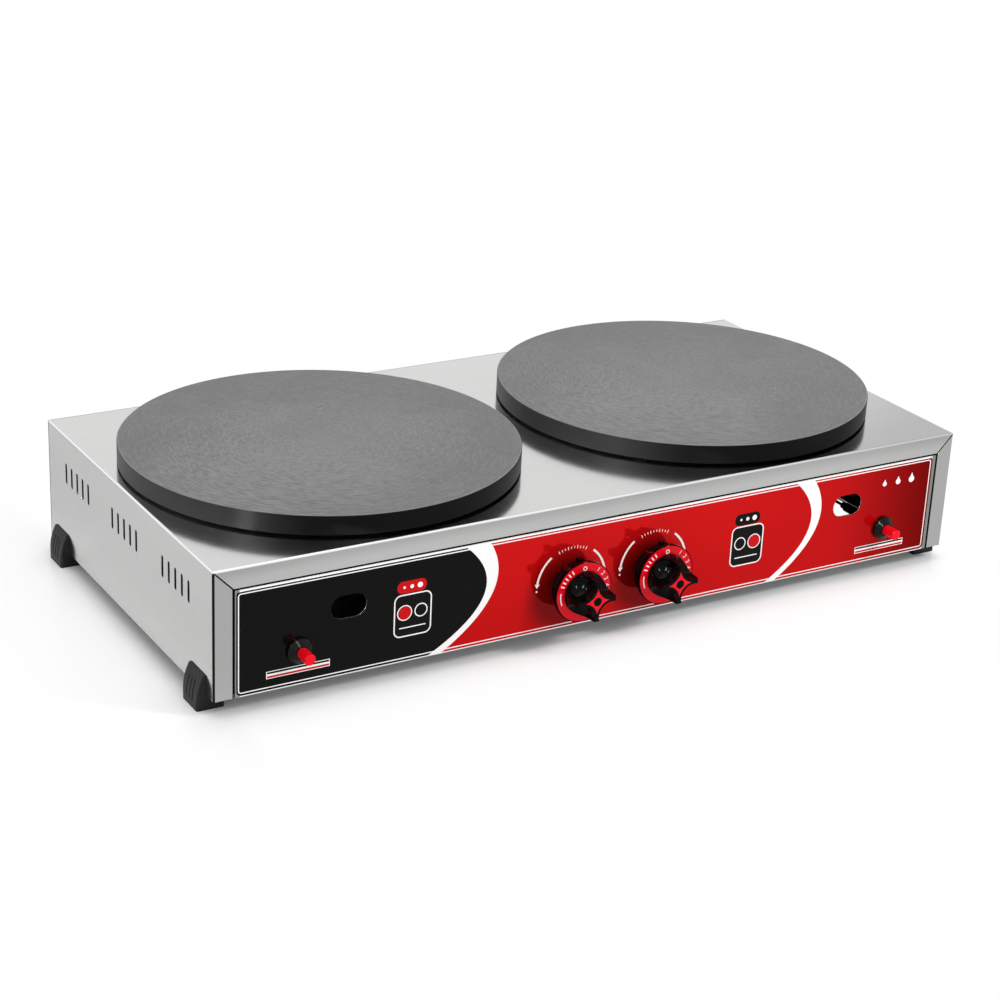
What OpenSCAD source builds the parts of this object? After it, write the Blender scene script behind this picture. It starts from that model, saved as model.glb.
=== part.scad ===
// Countertop double crepe maker, gas fired: two round cast-iron griddles on a folded
// stainless casing, with a star burner, control valve, knob and push igniter for each.
// Millimetres, +Z up, front towards -Y. The origin is the centre of the bounding box at
// the level of the feet's soles. Every left-hand piece is mirrored for the right.

/* [Casing] */
// Width of the casing
casing_w = 850; // [840:5:1000]
// Depth of the casing, back panel included
casing_d = 417; // [410:1:520]
// Height of the casing without its feet
casing_h = 129; // [127:1:170]
// Thickness of every folded steel sheet
sheet_t = 1.5; // [1.2:0.1:2]
// Outer radius of the sheet's bends
bend_r = 2.2; // [2.2:0.1:6]
// Width of the two posts beside the control panel
post_w = 19.6; // [16:0.2:26]
// Height of the rail above the control panel
rail_h = 20; // [14:1:24]
// Width of the inward flanges along the bottom of both sides
flange_w = 22; // [22:1:30]
// Width of the flanges that the back panel is screwed to
back_flange_w = 16; // [12:1:22]
// Width of the cut between two flanges that meet at a mitre
seam_w = 1.2; // [0.6:0.1:1.4]

/* [Griddles] */
// Diameter of each griddle
plate_d = 400; // [360:5:404]
// Distance between the griddle centres
plate_pitch = 434; // [425:1:440]
// Height of the cooking surface above the casing
plate_rise = 22; // [20:1:30]
// Gap between the griddle's rim and the casing
plate_gap = 2.5; // [2:0.5:5]
// Thickness of the griddle's cooking surface
plate_t = 13; // [10:1:15]
// Thickness of the rim that hangs below the cooking surface
plate_rim_t = 14; // [12:1:18]
// Chamfer of the cooking surface's edge
plate_chamfer = 0.8; // [0.4:0.1:1.5]
// Clearance from the rim to the opening in the casing below it
plate_hole_margin = 22; // [20:1:34]
// Number of locating pins under each griddle
plate_pins_n = 4; // [3:1:4]
// Diameter of a locating pin's tip
plate_pin_d = 5; // [4:0.5:6]

/* [Side vents] */
// Groups of slots on each side
vent_groups = 3; // [2:1:3]
// Slots in one group
vent_slots = 5; // [3:1:6]
// Width of a slot
slot_w = 4.5; // [3:0.5:6]
// Height of a slot
slot_h = 22; // [16:1:30]
// Distance from slot to slot
slot_pitch = 15.25; // [12:0.25:17]
// Distance from group to group
group_pitch = 125; // [110:1:130]
// Depth of the slots' upper ends below the casing's top
slot_drop = 30; // [24:1:40]
// Shift of the middle group from the middle of the side towards the back
vent_shift = 2; // [0:0.5:6]

/* [Control panel] */
// Clearance between the control panel and the casing round it
panel_gap = 1.8; // [0.8:0.1:2]
// Depth of the panel's folded returns
panel_return = 12; // [8:1:16]
// Bare margin above, below and at the left of the printed label
label_margin = 1.4; // [1:0.2:6]
// Bare margin at the right end of the printed label
label_end_margin = 4; // [1:0.2:8]
// Thickness of the printed label
label_t = 0.4; // [0.3:0.1:0.8]
// Corner radius of the printed label
label_r = 4.5; // [3:0.5:8]
// Width of a flame window
window_w = 36.5; // [30:0.5:44]
// Height of a flame window
window_h = 23.5; // [18:0.5:28]
// Distance from the casing's side to the centre of a flame window
window_inset = 135.5; // [130:0.5:150]
// Depth of a flame window's centre below the casing's top
window_drop = 59.3; // [52:0.1:66]

/* [Knobs] */
// Distance between the two knobs
knob_pitch = 95.6; // [90:0.1:110]
// Depth of the knob axis below the casing's top
knob_drop = 82.5; // [78:0.5:86]
// Distance from the panel to the knob's front face
knob_reach = 49; // [46:0.5:56]
// Distance from the panel to the front face of the knob's dial
dial_reach = 24; // [23:0.5:27]
// Diameter of the knob's dial
dial_d = 63; // [58:0.5:64]
// Thickness of the knob's dial
dial_t = 4; // [3:0.1:6]
// Width of the black rim round the dial's red ring
dial_rim = 1; // [0.8:0.1:1.6]
// Diameter of the grip where it leaves the dial
grip_base_d = 44; // [42:0.5:46]
// Diameter over the four points of the grip's front face
grip_front_d = 42; // [38:0.2:44]
// Radius of the four scoops in the grip
scoop_r = 14.3; // [13.6:0.1:15]
// Distance of a scoop's centre from the knob's axis
scoop_offset = 23.6; // [23:0.1:24.4]
// Width of the black rim round the red star
star_rim = 2.7; // [2.4:0.1:3.4]
// Thickness of the red ring and the red star
inlay_t = 1.2; // [1:0.1:1.6]
// Diameter of the dot in the middle of the star
dot_d = 9; // [6:0.5:10]
// Diameter of the fixed collar behind the dial
collar_d = 56; // [52:0.5:57]
// Distance from the panel to the back of the collar's wide part
collar_rise = 10; // [6:0.5:11]
// Diameter of the collar's foot on the panel
collar_foot_d = 40; // [37:0.5:44]
// Distance that the knob is pushed in before it turns
push_travel = 3; // [2:0.5:3]
// Diameter of the valve stem
stem_d = 6; // [5:0.5:7]

/* [Igniters] */
// Distance from the casing's side to the igniter's axis
igniter_inset = 85; // [80:1:92]
// Depth of the igniter's axis below the casing's top
igniter_drop = 93.3; // [90:0.1:96]
// Diameter of the igniter's bezel
bezel_d = 25; // [22:0.5:28]
// Distance from the panel to the front of the bezel's rim
bezel_reach = 4.1; // [3:0.1:5]
// Height of the bezel's cone in front of its rim
bezel_cone = 4; // [2:0.5:6]
// Diameter of the igniter's button
button_d = 11; // [9:0.5:12]
// Distance from the panel to the button's front face
button_reach = 24.5; // [20:0.5:28]
// Distance that the button is pushed in
button_travel = 7; // [5:0.5:8]
// Diameter of the threaded barrel behind the bezel
barrel_d = 18; // [17:0.5:19]
// Diameter of the piezo unit's wide front part behind the panel
piezo_d = 22; // [21:0.5:24]
// Length of the piezo unit's wide front part
piezo_head_l = 16; // [13:0.5:20]
// Diameter of the piezo unit behind its wide front part
piezo_tail_d = 10; // [9:0.5:12]
// Length of the whole piezo unit
piezo_l = 48; // [36:1:50]

/* [Feet] */
// Height of the casing's bottom above the worktop
foot_h = 16; // [12:1:22]
// Length of a foot along the side
foot_l = 33; // [28:1:40]
// Distance from the casing's front and back to a foot
foot_inset = 18; // [14:1:26]
// Reach of the sole under the casing
foot_in = 19.3; // [19:0.1:21]
// Reach of the sole beyond the casing's side
foot_out = 8.5; // [7:0.1:11]
// Height of the wedge above the casing's bottom
foot_rise = 19.5; // [15:0.5:24]
// Thickness of the wedge at its upper edge
foot_tip = 1.5; // [1:0.1:2.5]
// Rounding of the foot's outer corners
foot_corner_r = 2.5; // [1.5:0.1:3.5]
// Depth of the plain grooves in the wedge
groove_depth = 0.7; // [0.4:0.1:1]

/* [Burners] */
// Number of arms on a burner
burner_arms = 8; // [6:1:8]
// Radius from the burner's centre to the end of an arm
arm_reach = 150; // [130:1:155]
// Outside diameter of an arm
arm_d = 16; // [14:1:18]
// Depth of the arms' axes below the casing's top
arm_drop = 48; // [44:1:52]
// Diameter of the burner's hub
hub_d = 48; // [44:1:54]
// Flame ports along one arm
ports_per_arm = 4; // [3:1:6]
// Outside diameter of the mixing tube
mixing_d = 22; // [20:1:26]
// Diameter of the mixing tube's air mouth
mouth_d = 30; // [28:1:32]
// Wall of the burner castings and tubes
burner_wall = 1.6; // [1.2:0.1:2]

/* [Gas supply] */
// Depth of a valve behind the panel
valve_l = 60; // [56:1:66]
// Width of a valve
valve_w = 28; // [26:1:32]
// Height of a valve above its stem
valve_above = 14; // [13:1:16]
// Height of a valve below its stem
valve_below = 32; // [30:1:32]
// Outside width of the square gas rail
rail_size = 12; // [11:1:13]
// Outside diameter of the feed pipes
feed_d = 8; // [6:1:8]
// Bend radius of the feed pipes
feed_bend = 16; // [13:1:18]
// Outside diameter of the inlet pipe
inlet_d = 12; // [10:1:12]
// Diameter of the inlet union's thread
union_d = 20.96; // [16.66:4.3:20.96]
// Distance from the back panel to the end of the union
union_reach = 28; // [24:1:34]
// Length of the union's free thread
union_thread_l = 18; // [14:1:20]

/* [Fasteners] */
// Shank diameter of the screws
screw_d = 3.8; // [3:0.1:4]
// Head diameter of the screws
screw_head_d = 8; // [7:0.5:8.4]
// Head height of the screws
screw_head_h = 2.2; // [1.8:0.1:2.6]

/* [Hidden] */
$fn = 96;
LEFT = -1;
RIGHT = 1;
FRONT = -1;
BACK = 1;

// Colours
STEEL = "#c4c4c2";
GALVANISED = "#a9adb0";
IRON = "#4a4a4a";
BRASS = "#c9a348";
COPPER = "#b5683f";
BLACK = "#171614";
RED = "#d5161c";
CERAMIC = "#ece6d8";
FOOT_GREY = "#2d2d2d";

// Clearances
running_fit = 0.1; // shaft in a hole, per side
loose_fit = 0.3; // pieces that pass each other, per side
screw_fit = 0.1; // screw in its hole, per side
overcut = 1; // how far a cut runs past the face it starts from
elbow_lap = 0.2; // how far a pipe's straight laps over the end of its elbow
elbow_skin = 0.01; // how much thinner an elbow is than its straights, per surface

// Levels and planes of the casing
casing_bottom = foot_h;
casing_top = casing_bottom + casing_h;
centre_y = (knob_reach - union_reach) / 2;
front_y = centre_y - casing_d / 2;
back_y = centre_y + casing_d / 2;
panel_back_y = front_y + sheet_t;
shell_d = casing_d - sheet_t;
shell_y = front_y + shell_d / 2;
base_top = casing_bottom + 2 * sheet_t;
plate_x = plate_pitch / 2;
plate_hole_d = plate_d - 2 * plate_hole_margin;

// Control panel
panel_w = casing_w - 2 * (post_w + panel_gap);
panel_top = casing_top - rail_h - panel_gap;
panel_h = panel_top - casing_bottom;
panel_return_x = min(panel_w / 2, casing_w / 2 - flange_w - loose_fit); // clear of the flanges
window_x = casing_w / 2 - window_inset;
window_z = casing_top - window_drop;
igniter_x = casing_w / 2 - igniter_inset;
igniter_z = casing_top - igniter_drop;
knob_x = knob_pitch / 2;
knob_z = casing_top - knob_drop;
stem_hole_d = stem_d + 5;

// Knob
dial_back = dial_reach - dial_t;
ring_out_d = dial_d - 2 * dial_rim;
mark_r = 3.2; // bulge of the red ring round its mark
mark_offset = ring_out_d / 2 - 1.9;
collar_reach = dial_back - push_travel - 0.5;
collar_wall = 3;
collar_hole_d = 29;
hub_out_d = 24;
hub_back = 4;
nub_w = 5;
nub_reach = dial_d / 2;
scoop_web = 1.2; // left between a scoop's lowest point and the dial
scoop_start = dial_reach + scoop_r + scoop_web;
flat_depth = 1; // flat on the D-shaped end of the stem
stem_nose = dial_reach + 12;

// Valve
valve_front_t = 7;
plug_d = 16;
plug_l = 26;
outlet_d = 16;
outlet_l = 9;
magnet_d = 14;
magnet_l = 18;
magnet_drop = 22;
plug_y = panel_back_y + valve_front_t + loose_fit;
stem_tail_y = plug_y + plug_l - push_travel - 2;
rail_y = panel_back_y + 34;
rail_z = knob_z + valve_above + rail_size / 2;
rail_wall = 1.5;
rail_overhang = 22;
outlet_end_y = panel_back_y + valve_l + outlet_l;
magnet_z = knob_z - magnet_drop;
magnet_end_y = panel_back_y + valve_l + magnet_l;

// Burner
hub_top = casing_top - arm_drop + arm_d / 2 + 3;
hub_bottom = knob_z - mixing_d / 2 - 4.5;
arm_z = casing_top - arm_drop;
port_d = 2.4;
port_start = hub_d / 2 + 14;
injector_l = 14;
injector_hex = 14;
nozzle_d = 9;
nozzle_l = 10;
mouth_l = 26;
mouth_wall = 3;
injector_end_x = knob_x + feed_bend + 8;
mouth_end_x = injector_end_x + injector_l;
bracket_w = 60;
bracket_l = 50;
bracket_flange = 12;

// Spark electrode and thermocouple, on either side of the arm that points at the window
sensor_along = 116; // distance from the burner's centre, along the arm
sensor_across = 14; // distance from the arm's axis
sensor_drop = 22; // strip below the arms' axes
strip_t = 2;
strip_w = 16;
strip_l = 2 * sensor_across + 16;
post_l = 10;
strip_top = arm_z - sensor_drop;
ceramic_d = 8;
ceramic_below = 12;
ceramic_above = 12;
sensor_flange_d = 12;
sensor_flange_t = 3;
tip_height = 12; // tips above the arms' axes
rod_d = 2.4;
probe_d = 5;
probe_flange_d = 9;
probe_below = 10;
capillary_d = 2.4;
wire_d = 3.2;
lead_bend = 5;
electrode_x = -plate_x - (sensor_along - sensor_across) * cos(45);
electrode_y = centre_y - (sensor_along + sensor_across) * sin(45);
probe_x = -plate_x - (sensor_along + sensor_across) * cos(45);
probe_y = centre_y - (sensor_along - sensor_across) * sin(45);

// Igniter
barrel_l = 12;
nut_hex = 26;
nut_t = 5;
button_chamfer = 0.8;
button_collar_d = button_d + 3;
button_collar_t = 2;
terminal_d = 7;
terminal_l = 6;
piezo_y = front_y + barrel_l;
piezo_end_y = piezo_y + piezo_l;
button_recess = 4; // from the collar's stop to the barrel's rear end
button_stop_y = piezo_y - button_recess;
chamber_l = button_travel + button_collar_t;

// Griddle
rim_bottom = casing_top + plate_gap;
plate_top = casing_top + plate_rise;
plate_under = plate_top - plate_t;
rib_r = 100;
rib_w = 6;
rib_h = min(4, plate_under - rim_bottom);
pin_inset = 2.5; // from the middle of the rim's width towards the griddle's centre
pin_circle_r = plate_d / 2 - plate_rim_t / 2 - pin_inset;
pin_turn = 45; // angle from the line between the griddles to the first pin
pin_pad_d = 8;
pin_tip_l = 4;
pin_shank_l = 8;

// Feet
wedge_h = foot_rise + foot_h;
wedge_rise = wedge_h - 5; // the wedge's outer face stands upright at this depth below its tip
wedge_r = (pow(wedge_rise, 2) + pow(foot_out - foot_tip, 2)) / (2 * (foot_out - foot_tip));
sole_r = 1.5;
groove_w = 2;
groove_pitch = 6.5;
groove_margin = 7;
foot_recess_d = screw_head_d + 1.4;
foot_recess_h = 9;
foot_screw_x = casing_w / 2 - 11;

// Inlet union
union_neck_d = union_d - 1;
union_hex = 27;
union_hex_t = 8;
union_bore_d = 13;
union_nut_t = 8;
union_z = rail_z;

// Fasteners
base_screw_x = casing_w / 2 - 11;
base_screw_inset = 110;
panel_screw_x = 250;
panel_screw_y = front_y + sheet_t + 6;
back_screw_x = 200;
back_screw_edge = back_flange_w / 2;
back_screw_low = 30;
back_screw_high = 40;
screw_tip = 4;

// ---- Shared shapes -------------------------------------------------------------------

// Draws the left-hand piece, or its mirror image on the right
module on_side(side) {
    if (side == LEFT) children();
    else mirror([1, 0, 0]) children();
}

// Stands a shape that was drawn towards +Z on the front panel, pointing out at the user
module facing_front(x, z) {
    translate([x, front_y, z]) rotate([90, 0, 0]) children();
}

// Turns a shape that was drawn towards +Z so that it points to the back
module facing_back(x, y, z) {
    translate([x, y, z]) rotate([-90, 0, 0]) children();
}

// Box from its lower corner to its upper corner
module box_between(low, high) {
    translate(low) cube(high - low);
}

// Rectangle with two rounded upper corners, standing on the origin
module arch_outline(w, h, r) {
    translate([-w / 2, 0]) square([w, h - r]);
    translate([-w / 2 + r, 0]) square([w - 2 * r, h]);
    for (side = [-1, 1]) translate([side * (w / 2 - r), h - r]) circle(r);
}

// Rectangle with four rounded corners, centred on the origin
module rounded_outline(w, h, r) {
    square([w, h - 2 * r], center = true);
    square([w - 2 * r, h], center = true);
    for (side = [-1, 1], level = [-1, 1])
        translate([side * (w / 2 - r), level * (h / 2 - r)]) circle(r);
}

// Box whose upper and upright edges are bent to one radius, standing on the origin
module bent_box(w, d, h, r) {
    intersection() {
        rotate([90, 0, 0]) linear_extrude(d, center = true) arch_outline(w, h, r);
        rotate([90, 0, 90]) linear_extrude(w, center = true) arch_outline(d, h, r);
        linear_extrude(h) rounded_outline(w, d, r);
    }
}

// Slot with round ends, upright in the outline's plane
module slot_outline(w, h) {
    square([w, h - w], center = true);
    for (level = [-1, 1]) translate([0, level * (h - w) / 2]) circle(d = w, $fn = 32);
}

// Hexagon of a given width across its flats
module hexagon(across) {
    circle(d = across / cos(30), $fn = 6);
}

// Any direction along an axis of the frame, as a matrix that turns +Z to it
function toward(dir) =
    let (side = [dir.z, dir.x, dir.y], up = cross(dir, side))
    [[side.x, up.x, dir.x, 0], [side.y, up.y, dir.y, 0], [side.z, up.z, dir.z, 0], [0, 0, 0, 1]];

function unit(v) = v / norm(v);

// Cross-section of a pipe, solid when its bore is zero
module pipe_section(d, bore) {
    difference() {
        circle(d = d, $fn = 48);
        if (bore > 0) circle(d = bore, $fn = 48);
    }
}

// Pipe along square corners, each turned with the same bend radius and lapped by its straights
module pipe_run(points, d, bore, bend) {
    last = len(points) - 1;
    for (i = [0 : last - 1]) {
        dir = unit(points[i + 1] - points[i]);
        start = points[i] + (i > 0 ? bend - elbow_lap : 0) * dir;
        end = points[i + 1] - (i < last - 1 ? bend - elbow_lap : 0) * dir;
        translate(start) multmatrix(toward(dir)) linear_extrude(norm(end - start)) pipe_section(d, bore);
    }
    for (i = [1 : 1 : last - 1]) {
        into = unit(points[i] - points[i - 1]);
        out = unit(points[i + 1] - points[i]);
        up = cross(into, out);
        middle = points[i] + bend * (out - into);
        multmatrix([
            [-out.x, into.x, up.x, middle.x],
            [-out.y, into.y, up.y, middle.y],
            [-out.z, into.z, up.z, middle.z],
            [0, 0, 0, 1]
        ]) rotate_extrude(angle = 90) translate([bend, 0])
            pipe_section(d - 2 * elbow_skin, bore > 0 ? bore + 2 * elbow_skin : 0);
    }
}

// Screw that points up, with the underside of its head at the origin
module screw(length) {
    translate([0, 0, -screw_head_h]) cylinder(d = screw_head_d, h = screw_head_h, $fn = 32);
    cylinder(d = screw_d, h = length, $fn = 32);
}

// Hole for a screw that points up
module screw_hole(from_z, to_z) {
    translate([0, 0, from_z - overcut])
        cylinder(d = screw_d + 2 * screw_fit, h = to_z - from_z + 2 * overcut, $fn = 32);
}

// Where the pieces repeat
module at_foot_screws() {
    for (side = [-1, 1], y = [front_y + foot_inset + foot_l / 2, back_y - foot_inset - foot_l / 2])
        translate([side * foot_screw_x, y, 0]) children();
}

module at_base_screws() {
    for (side = [-1, 1], y = [front_y + base_screw_inset, back_y - base_screw_inset])
        translate([side * base_screw_x, y, 0]) children();
    for (side = [-1, 1]) translate([side * panel_screw_x, panel_screw_y, 0]) children();
}

module at_back_screws() {
    for (side = [-1, 1]) {
        facing_back(side * back_screw_x, back_y, casing_top - back_screw_edge) children();
        for (z = [casing_bottom + back_screw_low, casing_top - back_screw_high])
            facing_back(side * (casing_w / 2 - back_screw_edge), back_y, z) children();
    }
}

module at_plate_pins() {
    for (i = [0 : plate_pins_n - 1])
        rotate(pin_turn + i * 360 / plate_pins_n) translate([pin_circle_r, 0, 0]) children();
}

// ---- Casing --------------------------------------------------------------------------

// Slots cut through both sides of the casing
module side_vents() {
    for (group = [0 : vent_groups - 1], i = [0 : vent_slots - 1]) {
        y = shell_y + vent_shift + (group - (vent_groups - 1) / 2) * group_pitch
            + (i - (vent_slots - 1) / 2) * slot_pitch;
        translate([0, y, casing_top - slot_drop - slot_h / 2]) rotate([90, 0, 90])
            linear_extrude(casing_w + 2 * overcut, center = true) slot_outline(slot_w, slot_h);
    }
}

// Cut between the rail's flange and a post's flange, from the fold into the panel's opening
module mitre_seams() {
    run = norm([post_w, rail_h]);
    for (side = [-1, 1])
        translate([side * (casing_w / 2 - post_w / 2), front_y + sheet_t / 2, casing_top - rail_h / 2])
            rotate([0, -side * atan2(rail_h, post_w), 0]) translate([-side * (bend_r + overcut) / 2, 0, 0])
                cube([run - bend_r + overcut, sheet_t + 2 * overcut, seam_w], center = true);
}

// Folded sheet: top, both sides with bottom flanges, front rail and posts, back flanges
module casing_shell() {
    color(STEEL) difference() {
        translate([0, shell_y, casing_bottom]) bent_box(casing_w, shell_d, casing_h, bend_r);
        translate([0, shell_y, base_top - sheet_t])
            bent_box(casing_w - 2 * sheet_t, shell_d - 2 * sheet_t, casing_h - 2 * sheet_t, bend_r - sheet_t);
        box_between([-casing_w / 2 + flange_w, front_y - overcut, casing_bottom - overcut],
            [casing_w / 2 - flange_w, back_y + overcut, base_top]);
        box_between([-casing_w / 2 + post_w, front_y - overcut, casing_bottom - overcut],
            [casing_w / 2 - post_w, front_y + sheet_t + overcut, casing_top - rail_h]);
        box_between([-casing_w / 2 + back_flange_w, back_y - 2 * sheet_t - overcut, casing_bottom - overcut],
            [casing_w / 2 - back_flange_w, back_y + overcut, casing_top - back_flange_w]);
        for (side = [LEFT, RIGHT]) on_side(side) translate([-plate_x, centre_y, 0]) {
            translate([0, 0, casing_top - sheet_t - overcut])
                cylinder(d = plate_hole_d, h = sheet_t + 2 * overcut);
            at_plate_pins() translate([0, 0, casing_top])
                screw_hole(-sheet_t, 0);
        }
        side_vents();
        mitre_seams();
        at_foot_screws() screw_hole(casing_bottom, base_top);
        at_base_screws() screw_hole(casing_bottom, base_top);
        at_back_screws() screw_hole(-2 * sheet_t, 0);
    }
}

// Flat rear cover with two groups of slots and the hole of the inlet union
module back_panel() {
    edge = bend_r - sheet_t;
    color(STEEL) difference() {
        box_between([-casing_w / 2 + edge, back_y - sheet_t, casing_bottom],
            [casing_w / 2 - edge, back_y, casing_top - edge]);
        for (side = [-1, 1], i = [0 : 2 * vent_slots - 1])
            translate([side * plate_x + (i - vent_slots + 0.5) * slot_pitch, back_y,
                casing_top - slot_drop - slot_h / 2])
                rotate([90, 0, 0]) linear_extrude(4 * sheet_t, center = true) slot_outline(slot_w, slot_h);
        facing_back(0, back_y - sheet_t - overcut, union_z)
            cylinder(d = union_d + 2 * running_fit, h = sheet_t + 2 * overcut);
        at_back_screws() screw_hole(-sheet_t, 0);
    }
}

// Flat base on the side flanges, with a ring of air holes under each burner and an opening
// under each piezo unit
module base_plate() {
    air_hole_d = 20;
    air_ring_r = 112;
    inner_x = casing_w / 2 - sheet_t - loose_fit;
    opening_l = 130;
    opening_w = 62;
    opening_start_y = front_y + 48;
    color(GALVANISED) difference() {
        box_between([-inner_x, front_y + sheet_t + loose_fit, base_top - sheet_t],
            [inner_x, back_y - 2 * sheet_t - loose_fit, base_top]);
        for (side = [-1, 1], i = [0 : burner_arms - 1])
            translate([side * plate_x, centre_y, base_top - sheet_t - overcut])
                rotate((i + 0.5) * 360 / burner_arms) translate([air_ring_r, 0, 0])
                    cylinder(d = air_hole_d, h = sheet_t + 2 * overcut, $fn = 48);
        for (side = [-1, 1])
            translate([side * (casing_w / 2 - flange_w - opening_w / 2), opening_start_y + opening_l / 2,
                casing_bottom])
                linear_extrude(3 * sheet_t) rounded_outline(opening_w, opening_l, 8);
        at_foot_screws() screw_hole(casing_bottom, base_top);
        at_base_screws() screw_hole(casing_bottom, base_top);
    }
}

// Openings of the control panel and of the label on it, drawn as seen from the front
module panel_cuts(igniter_hole_d) {
    for (side = [-1, 1]) {
        translate([side * window_x, window_z]) rotate(90) slot_outline(window_h, window_w);
        translate([side * igniter_x, igniter_z]) circle(d = igniter_hole_d);
        translate([side * knob_x, knob_z]) circle(d = stem_hole_d);
    }
}

// Tray-shaped panel between the posts, with returns on all four sides
module control_panel() {
    inner_w = panel_w - 2 * sheet_t;
    color(STEEL) difference() {
        union() {
            box_between([-panel_w / 2, front_y, casing_bottom], [panel_w / 2, panel_back_y, panel_top]);
            box_between([-panel_return_x, front_y, casing_bottom],
                [panel_return_x, front_y + panel_return, casing_bottom + sheet_t]);
            box_between([-panel_w / 2, front_y, panel_top - sheet_t],
                [panel_w / 2, front_y + panel_return, panel_top]);
            for (side = [-1, 1])
                translate([side * (inner_w + sheet_t) / 2, front_y + panel_return / 2,
                    (base_top + loose_fit + panel_top) / 2])
                    cube([sheet_t, panel_return, panel_top - base_top - loose_fit], center = true);
        }
        translate([0, panel_back_y + overcut, 0]) rotate([90, 0, 0]) linear_extrude(sheet_t + 2 * overcut)
            panel_cuts(barrel_d + 2 * running_fit);
        at_base_screws() screw_hole(casing_bottom, base_top);
    }
}

// Printed sheet on the control panel
module front_label() {
    color(RED) translate([0, front_y, 0]) rotate([90, 0, 0]) linear_extrude(label_t) difference() {
        translate([(label_margin - label_end_margin) / 2, casing_bottom + panel_h / 2])
            rounded_outline(panel_w - label_margin - label_end_margin, panel_h - 2 * label_margin, label_r);
        panel_cuts(barrel_d + 2 * running_fit);
    }
}

// ---- Griddles ------------------------------------------------------------------------

// Turned cast-iron disc with a hanging rim and a stiffening ring underneath
module plate(side) {
    r = plate_d / 2;
    rim_in = r - plate_rim_t;
    color(IRON) on_side(side) translate([-plate_x, centre_y, 0]) difference() {
        rotate_extrude($fn = 180) polygon([
            [0, plate_under], [rib_r, plate_under], [rib_r, plate_under - rib_h],
            [rib_r + rib_w, plate_under - rib_h], [rib_r + rib_w, plate_under], [rim_in, plate_under],
            [rim_in, rim_bottom], [r, rim_bottom], [r, plate_top - plate_chamfer],
            [r - plate_chamfer, plate_top], [0, plate_top]
        ]);
        at_plate_pins() translate([0, 0, rim_bottom - overcut])
            cylinder(d = plate_pin_d + 2 * running_fit, h = pin_tip_l + 1 + overcut, $fn = 32);
    }
}

// Pins that carry the griddle's rim and enter it from below
module plate_pins(side) {
    color(GALVANISED) on_side(side) translate([-plate_x, centre_y, 0]) at_plate_pins() {
        translate([0, 0, casing_top]) cylinder(d = pin_pad_d, h = plate_gap, $fn = 48);
        translate([0, 0, rim_bottom]) cylinder(d = plate_pin_d, h = pin_tip_l, $fn = 32);
        translate([0, 0, casing_top - pin_shank_l]) cylinder(d = screw_d, h = pin_shank_l, $fn = 32);
    }
}

// ---- Burners -------------------------------------------------------------------------

// Hollow hub with hollow arms and a row of flame ports along the top of each
module burner(side) {
    arm_bore = arm_d - 2 * burner_wall;
    port_pitch = (arm_reach - port_start - arm_d / 2) / (ports_per_arm - 1);
    color(GALVANISED) on_side(side) translate([-plate_x, centre_y, 0]) difference() {
        union() {
            translate([0, 0, hub_bottom]) cylinder(d = hub_d, h = hub_top - hub_bottom);
            for (i = [0 : burner_arms - 1]) translate([0, 0, arm_z]) rotate([0, 90, i * 360 / burner_arms])
                cylinder(d = arm_d, h = arm_reach, $fn = 48);
        }
        translate([0, 0, hub_bottom + burner_wall])
            cylinder(d = hub_d - 2 * burner_wall, h = hub_top - hub_bottom - 2 * burner_wall);
        for (i = [0 : burner_arms - 1]) translate([0, 0, arm_z]) rotate([0, 90, i * 360 / burner_arms]) {
            cylinder(d = arm_bore, h = arm_reach - burner_wall, $fn = 48);
            for (k = [0 : ports_per_arm - 1]) translate([0, 0, port_start + k * port_pitch])
                rotate([0, -90, 0]) cylinder(d = port_d, h = arm_d, $fn = 16);
        }
        translate([0, 0, knob_z]) rotate([0, 90, 0])
            cylinder(d = mixing_d - 2 * burner_wall, h = hub_d, $fn = 48);
    }
}

// Tube from the hub to an air mouth with two side windows, where the injector is screwed in
module mixing_tube(side) {
    hub_x = plate_x - sqrt(pow(hub_d / 2, 2) - pow(mixing_d / 2, 2));
    bore = mixing_d - 2 * burner_wall;
    mouth_bore = mouth_d - 2 * burner_wall;
    color(GALVANISED) on_side(side) translate([0, centre_y, knob_z]) difference() {
        union() {
            translate([-hub_x, 0, 0]) rotate([0, 90, 0])
                cylinder(d = mixing_d, h = hub_x - mouth_end_x - mouth_l, $fn = 64);
            translate([-mouth_end_x - mouth_l, 0, 0]) rotate([0, 90, 0])
                cylinder(d = mouth_d, h = mouth_l, $fn = 64);
        }
        translate([-plate_x, 0, 0]) cylinder(d = hub_d, h = 2 * mouth_d, center = true);
        translate([-plate_x, 0, 0]) rotate([0, 90, 0])
            cylinder(d = bore, h = plate_x - mouth_end_x - mouth_l + overcut, $fn = 64);
        translate([-mouth_end_x - mouth_l + mouth_wall, 0, 0]) rotate([0, 90, 0])
            cylinder(d = mouth_bore, h = mouth_l - 2 * mouth_wall, $fn = 64);
        translate([-mouth_end_x - mouth_l / 2, 0, 0])
            cube([mouth_l - 4 * mouth_wall, 2 * mouth_d, mouth_bore / 2], center = true);
        translate([-mouth_end_x - mouth_wall - overcut, 0, 0]) rotate([0, 90, 0])
            cylinder(d = nozzle_d + 2 * running_fit, h = mouth_wall + 2 * overcut, $fn = 48);
    }
}

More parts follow.
